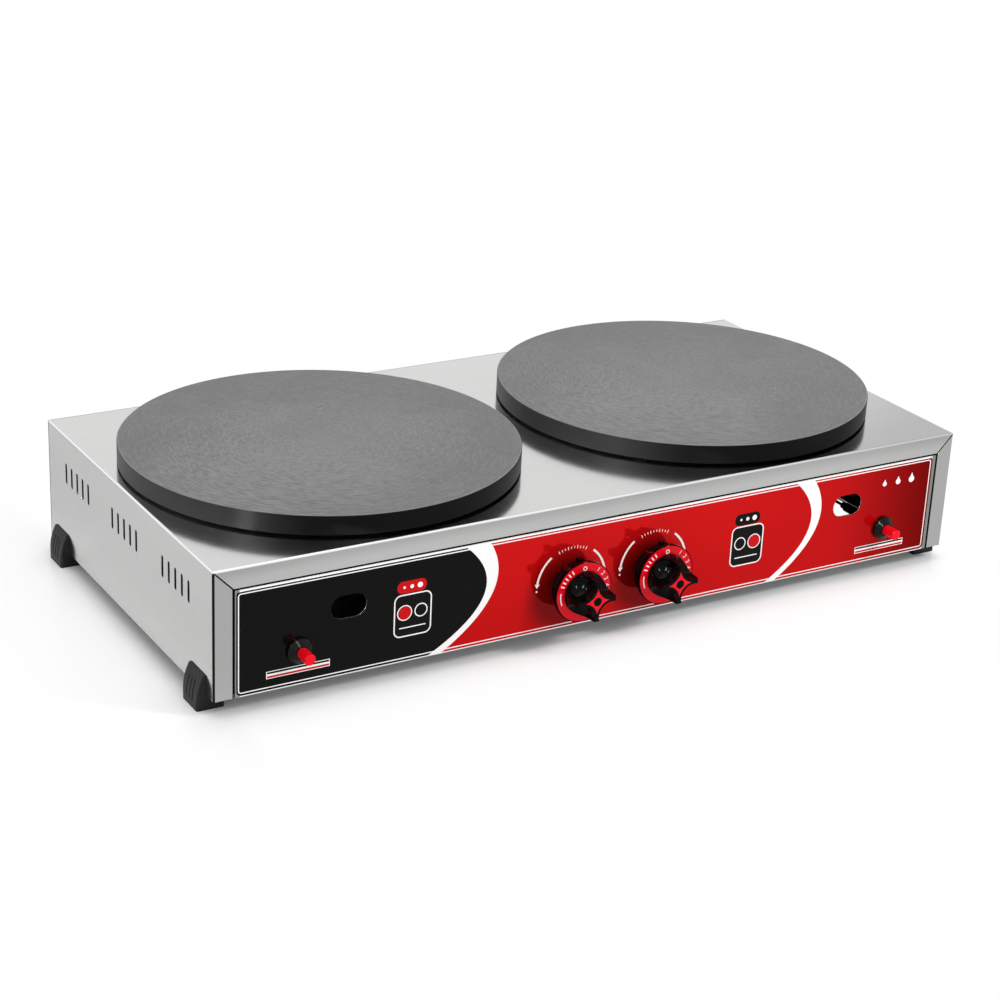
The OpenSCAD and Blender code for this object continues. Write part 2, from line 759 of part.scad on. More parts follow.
// Hat-shaped bracket between the base and the burner's hub
module burner_bracket(side) {
    rise = hub_bottom - base_top;
    color(GALVANISED) on_side(side) translate([-plate_x, centre_y, base_top]) {
        difference() {
            translate([-bracket_w / 2, -bracket_l / 2, 0]) cube([bracket_w, bracket_l, rise]);
            translate([-bracket_w / 2 + sheet_t, -bracket_l / 2 - overcut, -overcut])
                cube([bracket_w - 2 * sheet_t, bracket_l + 2 * overcut, rise - sheet_t + overcut]);
        }
        for (edge = [-1, 1]) translate([edge * (bracket_w + bracket_flange) / 2, 0, sheet_t / 2])
            cube([bracket_flange, bracket_l, sheet_t], center = true);
    }
}

// Brass injector with its nozzle inside the air mouth
module injector(side) {
    color(BRASS) on_side(side) translate([-mouth_end_x, centre_y, knob_z]) rotate([0, 90, 0]) difference() {
        union() {
            linear_extrude(injector_l) hexagon(injector_hex);
            translate([0, 0, -nozzle_l]) cylinder(d = nozzle_d, h = nozzle_l, $fn = 48);
        }
        cylinder(d = nozzle_d / 2, h = injector_l + overcut, $fn = 32);
        translate([0, 0, -nozzle_l - overcut]) cylinder(d = 1.4, h = nozzle_l + 2 * overcut, $fn = 16);
    }
}

// ---- Gas supply ----------------------------------------------------------------------

// Pipe from a valve's outlet to the injector
module feed_pipe(side) {
    color(COPPER) on_side(side) pipe_run([
        [-knob_x, outlet_end_y, knob_z], [-knob_x, centre_y, knob_z], [-injector_end_x, centre_y, knob_z]
    ], feed_d, feed_d - 2, feed_bend);
}

// Brass valve block with its plug chamber, outlet and flame-failure magnet housing
module valve_body(side) {
    color(BRASS) on_side(side) difference() {
        union() {
            box_between([-knob_x - valve_w / 2, panel_back_y, knob_z - valve_below],
                [-knob_x + valve_w / 2, panel_back_y + valve_l, knob_z + valve_above]);
            facing_back(-knob_x, panel_back_y + valve_l, knob_z) cylinder(d = outlet_d, h = outlet_l);
            facing_back(-knob_x, panel_back_y + valve_l, magnet_z) cylinder(d = magnet_d, h = magnet_l);
        }
        facing_back(-knob_x, panel_back_y - overcut, knob_z)
            cylinder(d = stem_d + 2 * running_fit, h = valve_front_t + 2 * overcut, $fn = 64);
        facing_back(-knob_x, panel_back_y + valve_front_t, knob_z)
            cylinder(d = plug_d + 2 * running_fit, h = plug_l + 2 * loose_fit);
        facing_back(-knob_x, panel_back_y + valve_front_t + plug_l, knob_z)
            cylinder(d = feed_d - 2, h = valve_l, $fn = 48);
    }
}

// Plug that the stem turns and slides in
module valve_plug(side) {
    color(BRASS) on_side(side) facing_back(-knob_x, plug_y, knob_z) difference() {
        cylinder(d = plug_d, h = plug_l);
        translate([0, 0, -overcut])
            cylinder(d = stem_d + 2 * running_fit, h = plug_l - 1 + overcut, $fn = 64);
        translate([0, -plug_d / 2, plug_l / 2]) rotate([90, 0, 0])
            cylinder(d = plug_d / 4, h = plug_d, center = true, $fn = 32);
    }
}

// Stem with a flat on its front end, which the knob is pushed on
module valve_stem(side) {
    color(GALVANISED) on_side(side) difference() {
        facing_back(-knob_x, front_y - stem_nose, knob_z)
            cylinder(d = stem_d, h = stem_tail_y - front_y + stem_nose, $fn = 64);
        box_between([-knob_x - stem_d, front_y - stem_nose - overcut, knob_z + stem_d / 2 - flat_depth],
            [-knob_x + stem_d, front_y - hub_back, knob_z + stem_d]);
    }
}

// Square rail on top of both valves
module gas_rail() {
    half = knob_x + rail_overhang;
    bore = rail_size - 2 * rail_wall;
    color(GALVANISED) difference() {
        translate([0, rail_y, rail_z]) cube([2 * half, rail_size, rail_size], center = true);
        translate([0, rail_y, rail_z]) cube([2 * (half - rail_wall), bore, bore], center = true);
        facing_back(0, rail_y, rail_z) cylinder(d = inlet_d - 2 * rail_wall, h = rail_size, $fn = 48);
    }
}

// Straight pipe from the inlet union to the rail
module inlet_pipe() {
    color(COPPER) pipe_run([
        [0, rail_y + rail_size / 2, rail_z], [0, back_y - sheet_t - union_hex_t, union_z]
    ], inlet_d, inlet_d - 2 * rail_wall, feed_bend);
}

// Threaded union through the back panel, with a hexagon inside
module inlet_union() {
    thread_start = union_reach - union_thread_l;
    color(BRASS) facing_back(0, back_y, union_z) difference() {
        union() {
            translate([0, 0, -sheet_t - union_hex_t]) linear_extrude(union_hex_t) hexagon(union_hex);
            translate([0, 0, -sheet_t]) cylinder(d = union_neck_d, h = thread_start + sheet_t);
            translate([0, 0, thread_start]) cylinder(d = union_d, h = union_thread_l);
        }
        translate([0, 0, -sheet_t - union_hex_t - overcut])
            cylinder(d = union_bore_d - 4, h = union_reach + sheet_t + union_hex_t + 2 * overcut, $fn = 48);
        translate([0, 0, thread_start]) cylinder(d = union_bore_d, h = union_thread_l + overcut, $fn = 48);
    }
}

// Locknut outside the back panel
module inlet_nut() {
    color(BRASS) facing_back(0, back_y, union_z) difference() {
        linear_extrude(union_nut_t) hexagon(union_hex);
        translate([0, 0, -overcut])
            cylinder(d = union_neck_d + 2 * running_fit, h = union_nut_t + 2 * overcut);
    }
}

// ---- Ignition and flame sensing ------------------------------------------------------

// Places a shape on the burner's diagonal, with its x axis across the arm
module at_sensors() {
    translate([-plate_x - sensor_along * cos(45), centre_y - sensor_along * sin(45), 0])
        rotate(-45) children();
}

// Strip under an arm, on a post from the base
module sensor_bracket(side) {
    rise = strip_top - base_top;
    color(GALVANISED) on_side(side) at_sensors() difference() {
        union() {
            translate([-strip_l / 2, -strip_w / 2, strip_top - strip_t]) cube([strip_l, strip_w, strip_t]);
            translate([-post_l / 2, strip_w / 2 - strip_t, base_top]) cube([post_l, strip_t, rise]);
            translate([-post_l / 2, strip_w / 2 - strip_t, base_top]) cube([post_l, strip_w, strip_t]);
        }
        translate([sensor_across, 0, strip_top - strip_t - overcut])
            cylinder(d = ceramic_d + 2 * running_fit, h = strip_t + 2 * overcut, $fn = 48);
        translate([-sensor_across, 0, strip_top - strip_t - overcut])
            cylinder(d = probe_d + 2 * running_fit, h = strip_t + 2 * overcut, $fn = 48);
    }
}

// Ceramic insulator with a steel spark rod
module electrode(side) {
    color(CERAMIC) on_side(side) translate([electrode_x, electrode_y, 0]) {
        translate([0, 0, strip_top - ceramic_below])
            cylinder(d = ceramic_d, h = ceramic_below + ceramic_above, $fn = 48);
        translate([0, 0, strip_top]) cylinder(d = sensor_flange_d, h = sensor_flange_t, $fn = 48);
        translate([0, 0, strip_top]) cylinder(d = rod_d, h = arm_z + tip_height - strip_top, $fn = 24);
    }
}

// Probe beside the flame, with its capillary to the valve's magnet housing
module thermocouple(side) {
    color(COPPER) on_side(side) {
        translate([probe_x, probe_y, 0]) {
            translate([0, 0, strip_top - probe_below])
                cylinder(d = probe_d, h = arm_z + tip_height - strip_top + probe_below, $fn = 48);
            translate([0, 0, strip_top]) cylinder(d = probe_flange_d, h = sensor_flange_t, $fn = 48);
        }
        pipe_run([
            [probe_x, probe_y, strip_top - probe_below], [probe_x, probe_y, magnet_z],
            [-knob_x, probe_y, magnet_z], [-knob_x, magnet_end_y, magnet_z]
        ], capillary_d, 0, lead_bend);
    }
}

// Insulated lead from the piezo unit to the electrode
module ignition_wire(side) {
    color(BLACK) on_side(side) pipe_run([
        [-igniter_x, piezo_end_y + terminal_l, igniter_z], [-igniter_x, electrode_y, igniter_z],
        [electrode_x, electrode_y, igniter_z], [electrode_x, electrode_y, strip_top - ceramic_below]
    ], wire_d, 0, lead_bend);
}

// Spark generator on the back of the igniter's barrel
module piezo_unit(side) {
    color(BLACK) on_side(side) facing_back(-igniter_x, piezo_y, igniter_z) difference() {
        union() {
            cylinder(d = piezo_d, h = piezo_head_l);
            translate([0, 0, piezo_head_l]) cylinder(d = piezo_tail_d, h = piezo_l - piezo_head_l, $fn = 64);
            translate([0, 0, piezo_l]) cylinder(d = terminal_d, h = terminal_l, $fn = 48);
        }
        translate([0, 0, -overcut]) cylinder(d = button_collar_d + 2 * loose_fit, h = chamber_l + overcut);
    }
}

// Flange and cone in front of the panel and hollow barrel through it
module igniter_bezel(side) {
    chamfer = 0.6;
    cone_d = bezel_d - 2 * chamfer;
    cone_tip_d = button_d + 3;
    color(BLACK) on_side(side) facing_front(-igniter_x, igniter_z) difference() {
        union() {
            translate([0, 0, label_t]) cylinder(d = bezel_d, h = bezel_reach - label_t - chamfer);
            translate([0, 0, bezel_reach - chamfer]) cylinder(d1 = bezel_d, d2 = cone_d, h = chamfer);
            translate([0, 0, bezel_reach]) cylinder(d1 = cone_d, d2 = cone_tip_d, h = bezel_cone);
            translate([0, 0, -barrel_l]) cylinder(d = barrel_d, h = barrel_l + label_t);
        }
        translate([0, 0, -barrel_l - overcut])
            cylinder(d = button_d + 2 * running_fit, h = barrel_l + bezel_reach + bezel_cone + 2 * overcut);
        translate([0, 0, -barrel_l - overcut])
            cylinder(d = button_collar_d + 2 * loose_fit, h = piezo_y - button_stop_y + overcut);
    }
}

// Hexagonal nut behind the panel
module igniter_nut(side) {
    color(GALVANISED) on_side(side) facing_back(-igniter_x, panel_back_y, igniter_z) difference() {
        linear_extrude(nut_t) hexagon(nut_hex);
        translate([0, 0, -overcut]) cylinder(d = barrel_d + 2 * running_fit, h = nut_t + 2 * overcut);
    }
}

// Red push button with a collar that keeps it in its barrel
module igniter_button(side) {
    collar_back = button_stop_y - front_y + loose_fit;
    color(RED) on_side(side) facing_front(-igniter_x, igniter_z) {
        translate([0, 0, -collar_back]) cylinder(d = button_d, h = collar_back + button_reach - button_chamfer);
        translate([0, 0, button_reach - button_chamfer])
            cylinder(d1 = button_d, d2 = button_d - 2 * button_chamfer, h = button_chamfer);
        translate([0, 0, -collar_back - button_collar_t]) cylinder(d = button_collar_d, h = button_collar_t);
    }
}

// ---- Knobs ---------------------------------------------------------------------------

// Fixed hollow collar on a narrower foot, with an index nub on top
module knob_collar(side) {
    color(BLACK) on_side(side) facing_front(-knob_x, knob_z) difference() {
        union() {
            translate([0, 0, label_t]) cylinder(d = collar_foot_d, h = collar_rise - label_t);
            translate([0, 0, collar_rise]) cylinder(d = collar_d, h = collar_reach - collar_rise);
            translate([-nub_w / 2, 0, collar_rise]) cube([nub_w, nub_reach, collar_reach - collar_rise]);
        }
        translate([0, 0, -overcut])
            cylinder(d = collar_foot_d - 2 * collar_wall, h = collar_reach - collar_wall + overcut);
        cylinder(d = collar_hole_d, h = collar_reach + overcut);
    }
}

// Four-pointed outline left between four scoops of radius r
module star_outline(size_d, r) {
    difference() {
        circle(d = size_d);
        for (i = [0 : 3]) rotate(45 + 90 * i) translate([scoop_offset, 0]) circle(r);
    }
}

// Red ring's outline, with its bulge at the mark
module ring_outline(fit) {
    difference() {
        union() {
            circle(d = ring_out_d + 2 * fit);
            translate([0, mark_offset]) circle(mark_r + fit, $fn = 48);
        }
        circle(d = grip_base_d - 2 * fit);
    }
}

// Dial, four-pointed grip and hub in one moulding
module knob_body(side) {
    color(BLACK) translate([side * knob_x, front_y, knob_z]) rotate([90, 0, 0]) difference() {
        union() {
            translate([0, 0, dial_back]) cylinder(d = dial_d, h = dial_t);
            translate([0, mark_offset, dial_back]) cylinder(r = mark_r + dial_rim, h = dial_t, $fn = 48);
            translate([0, 0, hub_back]) cylinder(d = hub_out_d, h = dial_back - hub_back);
            difference() {
                translate([0, 0, dial_reach]) cylinder(d1 = grip_base_d, d2 = grip_front_d, h = knob_reach - dial_reach);
                for (i = [0 : 3]) rotate(45 + 90 * i) translate([scoop_offset, 0, scoop_start]) {
                    sphere(r = scoop_r);
                    cylinder(r = scoop_r, h = knob_reach - scoop_start + overcut);
                }
            }
        }
        translate([0, 0, dial_reach - inlay_t]) linear_extrude(inlay_t + overcut) difference() {
            ring_outline(0);
            circle(d = grip_base_d);
        }
        translate([0, 0, knob_reach - inlay_t]) linear_extrude(inlay_t + overcut) difference() {
            star_outline(grip_front_d - 2 * star_rim, scoop_r + star_rim);
            circle(d = dot_d);
        }
        difference() {
            translate([0, 0, hub_back - overcut]) cylinder(d = stem_d, h = stem_nose - hub_back + overcut, $fn = 64);
            translate([-stem_d, stem_d / 2 - flat_depth, hub_back - overcut])
                cube([2 * stem_d, stem_d, stem_nose + 2 * overcut]);
        }
    }
}

// Red ring inlaid in the dial
module knob_ring(side) {
    color(RED) translate([side * knob_x, front_y - dial_reach + inlay_t, knob_z]) rotate([90, 0, 0])
        linear_extrude(inlay_t) ring_outline(0);
}

// Red star inlaid in the front of the grip
module knob_star(side) {
    color(RED) translate([side * knob_x, front_y - knob_reach + inlay_t, knob_z]) rotate([90, 0, 0])
        linear_extrude(inlay_t) difference() {
            star_outline(grip_front_d - 2 * star_rim, scoop_r + star_rim);
            circle(d = dot_d);
        }
}

// ---- Feet ----------------------------------------------------------------------------

// Section through a foot, drawn with the casing's side at x = 0 and the worktop at y = 0
module foot_outline(inset) {
    intersection() {
        translate([wedge_r - foot_out, wedge_h - wedge_rise]) circle(wedge_r - inset, $fn = 240);
        difference() {
            translate([-foot_out, 0]) square([foot_out + foot_in, wedge_h]);
            translate([0, foot_h]) square([foot_in + overcut, wedge_h]);
        }
    }
    translate([-foot_out + inset, inset]) square([foot_out, wedge_h - wedge_rise - inset]);
}

// Corner foot: sole under the casing and curved wedge up its side, with plain grooves
module foot(side, place) {
    y = place == FRONT ? front_y + foot_inset + foot_l / 2 : back_y - foot_inset - foot_l / 2;
    color(FOOT_GREY) difference() {
        on_side(side) translate([-casing_w / 2, y, 0]) difference() {
            intersection() {
                rotate([90, 0, 0]) linear_extrude(foot_l, center = true) foot_outline(0);
                translate([(foot_in - foot_out) / 2, 0, 0]) linear_extrude(wedge_h)
                    rounded_outline(foot_in + foot_out, foot_l, foot_corner_r);
            }
            for (i = [-1 : 1]) translate([0, i * groove_pitch, 0]) rotate([90, 0, 0])
                linear_extrude(groove_w, center = true) difference() {
                    translate([-foot_out - overcut, groove_margin])
                        square([foot_out, wedge_h - 2 * groove_margin]);
                    foot_outline(groove_depth);
                }
        }
        at_foot_screws() {
            translate([0, 0, -overcut]) cylinder(d = foot_recess_d, h = foot_recess_h + overcut, $fn = 48);
            screw_hole(foot_recess_h, foot_h);
        }
    }
}

// ---- Screws --------------------------------------------------------------------------

module foot_screws() {
    color(GALVANISED) at_foot_screws() translate([0, 0, foot_recess_h])
        screw(base_top + screw_tip - foot_recess_h);
}

module base_screws() {
    color(GALVANISED) at_base_screws() translate([0, 0, casing_bottom])
        screw(2 * sheet_t + screw_tip);
}

module back_screws() {
    color(GALVANISED) at_back_screws() rotate([180, 0, 0]) screw(2 * sheet_t + screw_tip);
}

// ---- The nodes -----------------------------------------------------------------------

casing_shell();
back_panel();
base_plate();
control_panel();
front_label();
plate(LEFT);  // plate_left
plate(RIGHT);  // plate_right
plate_pins(LEFT);  // plate_pins_left
plate_pins(RIGHT);  // plate_pins_right
burner(LEFT);  // burner_left
burner(RIGHT);  // burner_right
mixing_tube(LEFT);  // mixing_tube_left
mixing_tube(RIGHT);  // mixing_tube_right
burner_bracket(LEFT);  // burner_bracket_left
burner_bracket(RIGHT);  // burner_bracket_right
injector(LEFT);  // injector_left
injector(RIGHT);  // injector_right
feed_pipe(LEFT);  // feed_pipe_left
feed_pipe(RIGHT);  // feed_pipe_right
valve_body(LEFT);  // valve_body_left
valve_body(RIGHT);  // valve_body_right
valve_plug(LEFT);  // valve_plug_left
valve_plug(RIGHT);  // valve_plug_right
valve_stem(LEFT);  // valve_stem_left
valve_stem(RIGHT);  // valve_stem_right
gas_rail();
inlet_pipe();
inlet_union();
inlet_nut();
sensor_bracket(LEFT);  // sensor_bracket_left
sensor_bracket(RIGHT);  // sensor_bracket_right
electrode(LEFT);  // electrode_left
electrode(RIGHT);  // electrode_right
thermocouple(LEFT);  // thermocouple_left
thermocouple(RIGHT);  // thermocouple_right
ignition_wire(LEFT);  // ignition_wire_left
ignition_wire(RIGHT);  // ignition_wire_right
piezo_unit(LEFT);  // piezo_unit_left
piezo_unit(RIGHT);  // piezo_unit_right
igniter_bezel(LEFT);  // igniter_bezel_left
igniter_bezel(RIGHT);  // igniter_bezel_right
igniter_nut(LEFT);  // igniter_nut_left
igniter_nut(RIGHT);  // igniter_nut_right
igniter_button(LEFT);  // igniter_button_left
igniter_button(RIGHT);  // igniter_button_right
knob_collar(LEFT);  // knob_collar_left
knob_collar(RIGHT);  // knob_collar_right
knob_body(LEFT);  // knob_body_left
knob_body(RIGHT);  // knob_body_right
knob_ring(LEFT);  // knob_ring_left
knob_ring(RIGHT);  // knob_ring_right
knob_star(LEFT);  // knob_star_left
knob_star(RIGHT);  // knob_star_right
foot(LEFT, FRONT);  // foot_front_left
foot(RIGHT, FRONT);  // foot_front_right
foot(LEFT, BACK);  // foot_back_left
foot(RIGHT, BACK);  // foot_back_right
foot_screws();
base_screws();
back_screws();
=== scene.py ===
"""Looks of a countertop double crepe maker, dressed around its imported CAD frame.

Metres, +Z up, front towards -Y. The frame gives every solid at its place. This file gives each
solid its finish, adds the print on the control panel and on the dials, and models the screws
and the threaded gas inlet in detail.
"""

import logging
import math
from contextlib import contextmanager
from dataclasses import dataclass
from enum import Enum
from typing import Any, Callable, Iterator, Union

import bmesh
import bpy
from mathutils import Euler, Matrix, Vector


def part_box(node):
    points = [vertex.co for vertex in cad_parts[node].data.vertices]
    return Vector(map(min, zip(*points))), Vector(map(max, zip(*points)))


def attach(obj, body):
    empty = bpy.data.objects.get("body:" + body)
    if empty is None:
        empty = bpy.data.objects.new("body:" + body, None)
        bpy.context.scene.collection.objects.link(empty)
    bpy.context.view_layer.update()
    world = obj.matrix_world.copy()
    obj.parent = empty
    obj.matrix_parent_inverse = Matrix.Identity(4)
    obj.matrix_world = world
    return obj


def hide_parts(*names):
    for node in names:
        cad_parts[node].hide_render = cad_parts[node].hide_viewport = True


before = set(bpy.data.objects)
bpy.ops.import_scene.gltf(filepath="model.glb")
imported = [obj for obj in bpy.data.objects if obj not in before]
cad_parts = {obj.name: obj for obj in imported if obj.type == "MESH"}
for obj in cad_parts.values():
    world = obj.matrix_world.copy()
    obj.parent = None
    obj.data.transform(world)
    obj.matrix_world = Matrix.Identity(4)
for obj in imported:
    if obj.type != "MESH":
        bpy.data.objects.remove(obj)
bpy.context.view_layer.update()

MM = 0.001
PRINT_T = 0.06 * MM
PRINT_OUT = 0.3 * PRINT_T
LAYER_STEP = 0.6 * PRINT_T
WELD = 0.002 * MM

log = logging.getLogger("crepe_maker")

Colour = tuple[float, float, float, float]
Number = Union[float, "Wire"]
Inputs = dict[Union[int, str], Any]
Pair = tuple[float, float]
Piece = bpy.types.Object


class Side(Enum):
    """The two halves of the appliance, as seen from the front."""

    LEFT = "left"
    RIGHT = "right"

    @property
    def sign(self) -> int:
        """-1 on the left and 1 on the right."""
        return self.of((-1, 1))

    def of(self, pair: tuple[Any, Any]) -> Any:
        """This side's one of a left and a right value."""
        return pair[self is Side.RIGHT]


class Element(Enum):
    """What can be selected in edit mode, with the name of its list in a mesh."""

    FACE = "faces"
    EDGE = "edges"
    VERT = "verts"


# ---- Sizes from the frame --------------------------------------------------------------


def middle(low: Vector, high: Vector) -> Vector:
    """The middle of a box."""
    return (low + high) / 2


CASING_LOW, CASING_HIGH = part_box("casing_shell")
CASING_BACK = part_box("back_panel")[1].y
CASING_TOP = CASING_HIGH.z
CASING_HALF_W = (CASING_HIGH.x - CASING_LOW.x) / 2
CASING_HALF_D = (CASING_BACK - CASING_LOW.y) / 2
CASING_MIDDLE_Y = (CASING_BACK + CASING_LOW.y) / 2
PANEL_LOW, PANEL_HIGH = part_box("control_panel")
FILM_LOW, FILM_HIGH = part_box("front_label")
RIGHT_KNOB = middle(*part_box("knob_star_right"))


# ---- Colours and shader maths ----------------------------------------------------------


def srgb(code: str) -> Colour:
    """The linear colour of a web colour code.

    Args:
        code: Six hexadecimal digits after a hash sign.

    Returns:
        Red, green, blue and an alpha of 1.
    """
    parts = [int(code[i : i + 2], 16) / 255 for i in (1, 3, 5)]
    linear = [c / 12.92 if c <= 0.04045 else ((c + 0.055) / 1.055) ** 2.4 for c in parts]
    return (*linear, 1.0)


def shade(colour: Colour, factor: float) -> Colour:
    """A linear colour made lighter or darker by a factor."""
    return (*(min(1.0, c * factor) for c in colour[:3]), 1.0)


class Wire:
    """An output socket that Python expressions can be written with."""

    def __init__(self, shader: "Shader", socket: bpy.types.NodeSocket) -> None:
        """Keeps the socket and the shader that it belongs to."""
        self.shader = shader
        self.socket = socket

    def maths(self, operation: str, *values: Number, clamp: bool = False) -> "Wire":
        """Adds a Math node with this value first, and the others after it."""
        sockets = dict(enumerate((self, *values)))
        return self.shader.wire("Math", sockets, operation=operation, use_clamp=clamp)

    def __add__(self, other: Number) -> "Wire":
        """The sum."""
        return self.maths("ADD", other)

    def __sub__(self, other: Number) -> "Wire":
        """The difference."""
        return self.maths("SUBTRACT", other)

    def __rsub__(self, other: float) -> "Wire":
        """A number less this value."""
        return (self * -1.0).maths("ADD", other)

    def __mul__(self, other: Number) -> "Wire":
        """The product."""
        return self.maths("MULTIPLY", other)

    def __truediv__(self, other: Number) -> "Wire":
        """The quotient."""
        return self.maths("DIVIDE", other)

    __radd__ = __add__
    __rmul__ = __mul__

    def size(self) -> "Wire":
        """The value without its sign."""
        return self.maths("ABSOLUTE")

    def power(self, exponent: float) -> "Wire":
        """The value to a power."""
        return self.maths("POWER", exponent)

    def clamped(self) -> "Wire":
        """The value kept between 0 and 1."""
        return self.maths("ADD", 0.0, clamp=True)

    def larger(self, other: Number) -> "Wire":
        """The larger of two values."""
        return self.maths("MAXIMUM", other)

    def rise(self, start: float, end: float) -> "Wire":
        """A smooth rise from 0 to 1, while this value goes from the start to the end."""
        sockets = {0: self, 1: start, 2: end}
        return self.shader.wire("MapRange", sockets, interpolation_type="SMOOTHSTEP")

    def fall(self, start: float, end: float) -> "Wire":
        """A smooth fall from 1 to 0, while this value goes from the start to the end."""
        return 1.0 - self.rise(start, end)


def length(*parts: Wire) -> Wire:
    """The length of the vector with these parts."""
    squares = [part * part for part in parts]
    return sum(squares[1:], squares[0]).power(0.5)


class Shader:
    """A material's node tree, and the few ways in which this file adds nodes to it."""

    def __init__(self, tree: bpy.types.NodeTree) -> None:
        """Empties the tree."""
        self.tree = tree
        tree.nodes.clear()

    def node(self, kind: str, sockets: Inputs | None = None, **settings: Any) -> bpy.types.Node:
        """Adds a node.

        Args:
            kind: The node's type without its ShaderNode prefix.
            sockets: A value or a Wire for each numbered or named input.
            settings: The node's other settings.

        Returns:
            The node.
        """
        made = self.tree.nodes.new("ShaderNode" + kind)
        for name, value in settings.items():
            setattr(made, name, value)
        for name, value in (sockets or {}).items():
            if isinstance(value, Wire):
                self.tree.links.new(value.socket, made.inputs[name])
            else:
                made.inputs[name].default_value = value
        return made

    def wire(
        self, kind: str, sockets: Inputs | None = None, output: int | str = 0, **settings: Any
    ) -> Wire:
        """Adds a node as node() does, and returns one of its outputs."""
        return Wire(self, self.node(kind, sockets, **settings).outputs[output])

    def position(self) -> Wire:
        """The place on the piece, in metres in the shared frame."""
        return self.wire("TexCoord", output="Object")

    def axes(self, vector: Wire) -> tuple[Wire, ...]:
        """The three parts of a vector."""
        return tuple(Wire(self, part) for part in self.node("SeparateXYZ", {0: vector}).outputs)

    def vector(self, x: Number, y: Number, z: Number) -> Wire:
        """A vector of three parts."""
        return self.wire("CombineXYZ", {0: x, 1: y, 2: z})

    def stretch(self, vector: Wire, factors: tuple[float, float, float]) -> Wire:
        """A vector with each part multiplied by its own factor."""
        return self.wire("Mapping", {"Vector": vector, "Scale": factors}, vector_type="POINT")

    def noise(self, vector: Wire, scale: float = 1.0, detail: float = 2.0, twist: float = 0.0) -> Wire:
        """Soft noise between 0 and 1, with octaves of detail on top and a distortion."""
        sockets = {"Vector": vector, "Scale": scale, "Detail": detail, "Distortion": twist}
        return self.wire("TexNoise", sockets)

    def cells(self, vector: Wire, scale: float) -> Wire:
        """One random value for each cell of a crystal-like pattern."""
        colour = self.wire("TexVoronoi", {"Vector": vector, "Scale": scale}, 1, feature="F1")
        return self.axes(colour)[0]

    def blend(self, factor: Number, first: Union[Colour, Wire], second: Union[Colour, Wire]) -> Wire:
        """A colour between two others."""
        return self.wire("Mix", {0: factor, 6: first, 7: second}, 2, data_type="RGBA")

    def shades(self, factor: Number, code: str, first: float, second: float) -> Wire:
        """A web colour between two shades of itself."""
        base = srgb(code)
        return self.blend(factor, shade(base, first), shade(base, second))

    def mix(self, factor: Number, first: Wire, second: Wire) -> Wire:
        """A surface between two others."""
        return self.wire("MixShader", {0: factor, 1: first, 2: second})

    def rounded(self, radius: float) -> Wire:
        """The normal of the piece as if its edges were rounded to this radius."""
        return self.wire("Bevel", {"Radius": radius}, samples=6)

    def near_edge(self, radius: float) -> Wire:
        """A mask of what lies near a sharp edge: 0 on flat ground, rising towards the edge."""
        sockets = {0: self.rounded(radius), 1: self.wire("NewGeometry", output="Normal")}
        return 1.0 - self.wire("VectorMath", sockets, 1, operation="DOT_PRODUCT")

    def bump(self, height: Wire, strength: float, distance: float, over: Wire | None = None) -> Wire:
        """A bumped normal.

        Args:
            height: The height, between 0 and 1.
            strength: How strongly it shows.
            distance: The height in metres that 1 stands for.
            over: The normal underneath, if it isn't the piece's own.

        Returns:
            The normal.
        """
        sockets = {"Height": height, "Strength": strength, "Distance": distance}
        if over is not None:
            sockets["Normal"] = over
        return self.wire("Bump", sockets)

    def surface(self, **sockets: Union[Number, Colour]) -> Wire:
        """A Principled surface, its inputs named with underscores for their spaces."""
        named = {name.replace("_", " "): value for name, value in sockets.items()}
        return self.wire("BsdfPrincipled", named)

    def show(self, shader: Wire) -> None:
        """Makes a shader the material's surface."""
        self.node("OutputMaterial", {"Surface": shader})


# ---- Finishes --------------------------------------------------------------------------


@dataclass(frozen=True)
class Finish:
    """A finish that can be made into a material once and used on many pieces."""

    name: str

    def build(self, s: Shader) -> Wire:
        """Adds the finish's nodes.

        Args:
            s: The shader to add them to.

        Returns:
            The surface.
        """
        raise NotImplementedError

    def material(self) -> bpy.types.Material:
        """The material with this finish, made when it is first asked for.

        Returns:
            The material.
        """
        made = bpy.data.materials.get("finish_" + self.name)
        if made is None:
            made = bpy.data.materials.new("finish_" + self.name)
            made.use_nodes = True
            s = Shader(made.node_tree)
            s.show(self.build(s))
        return made


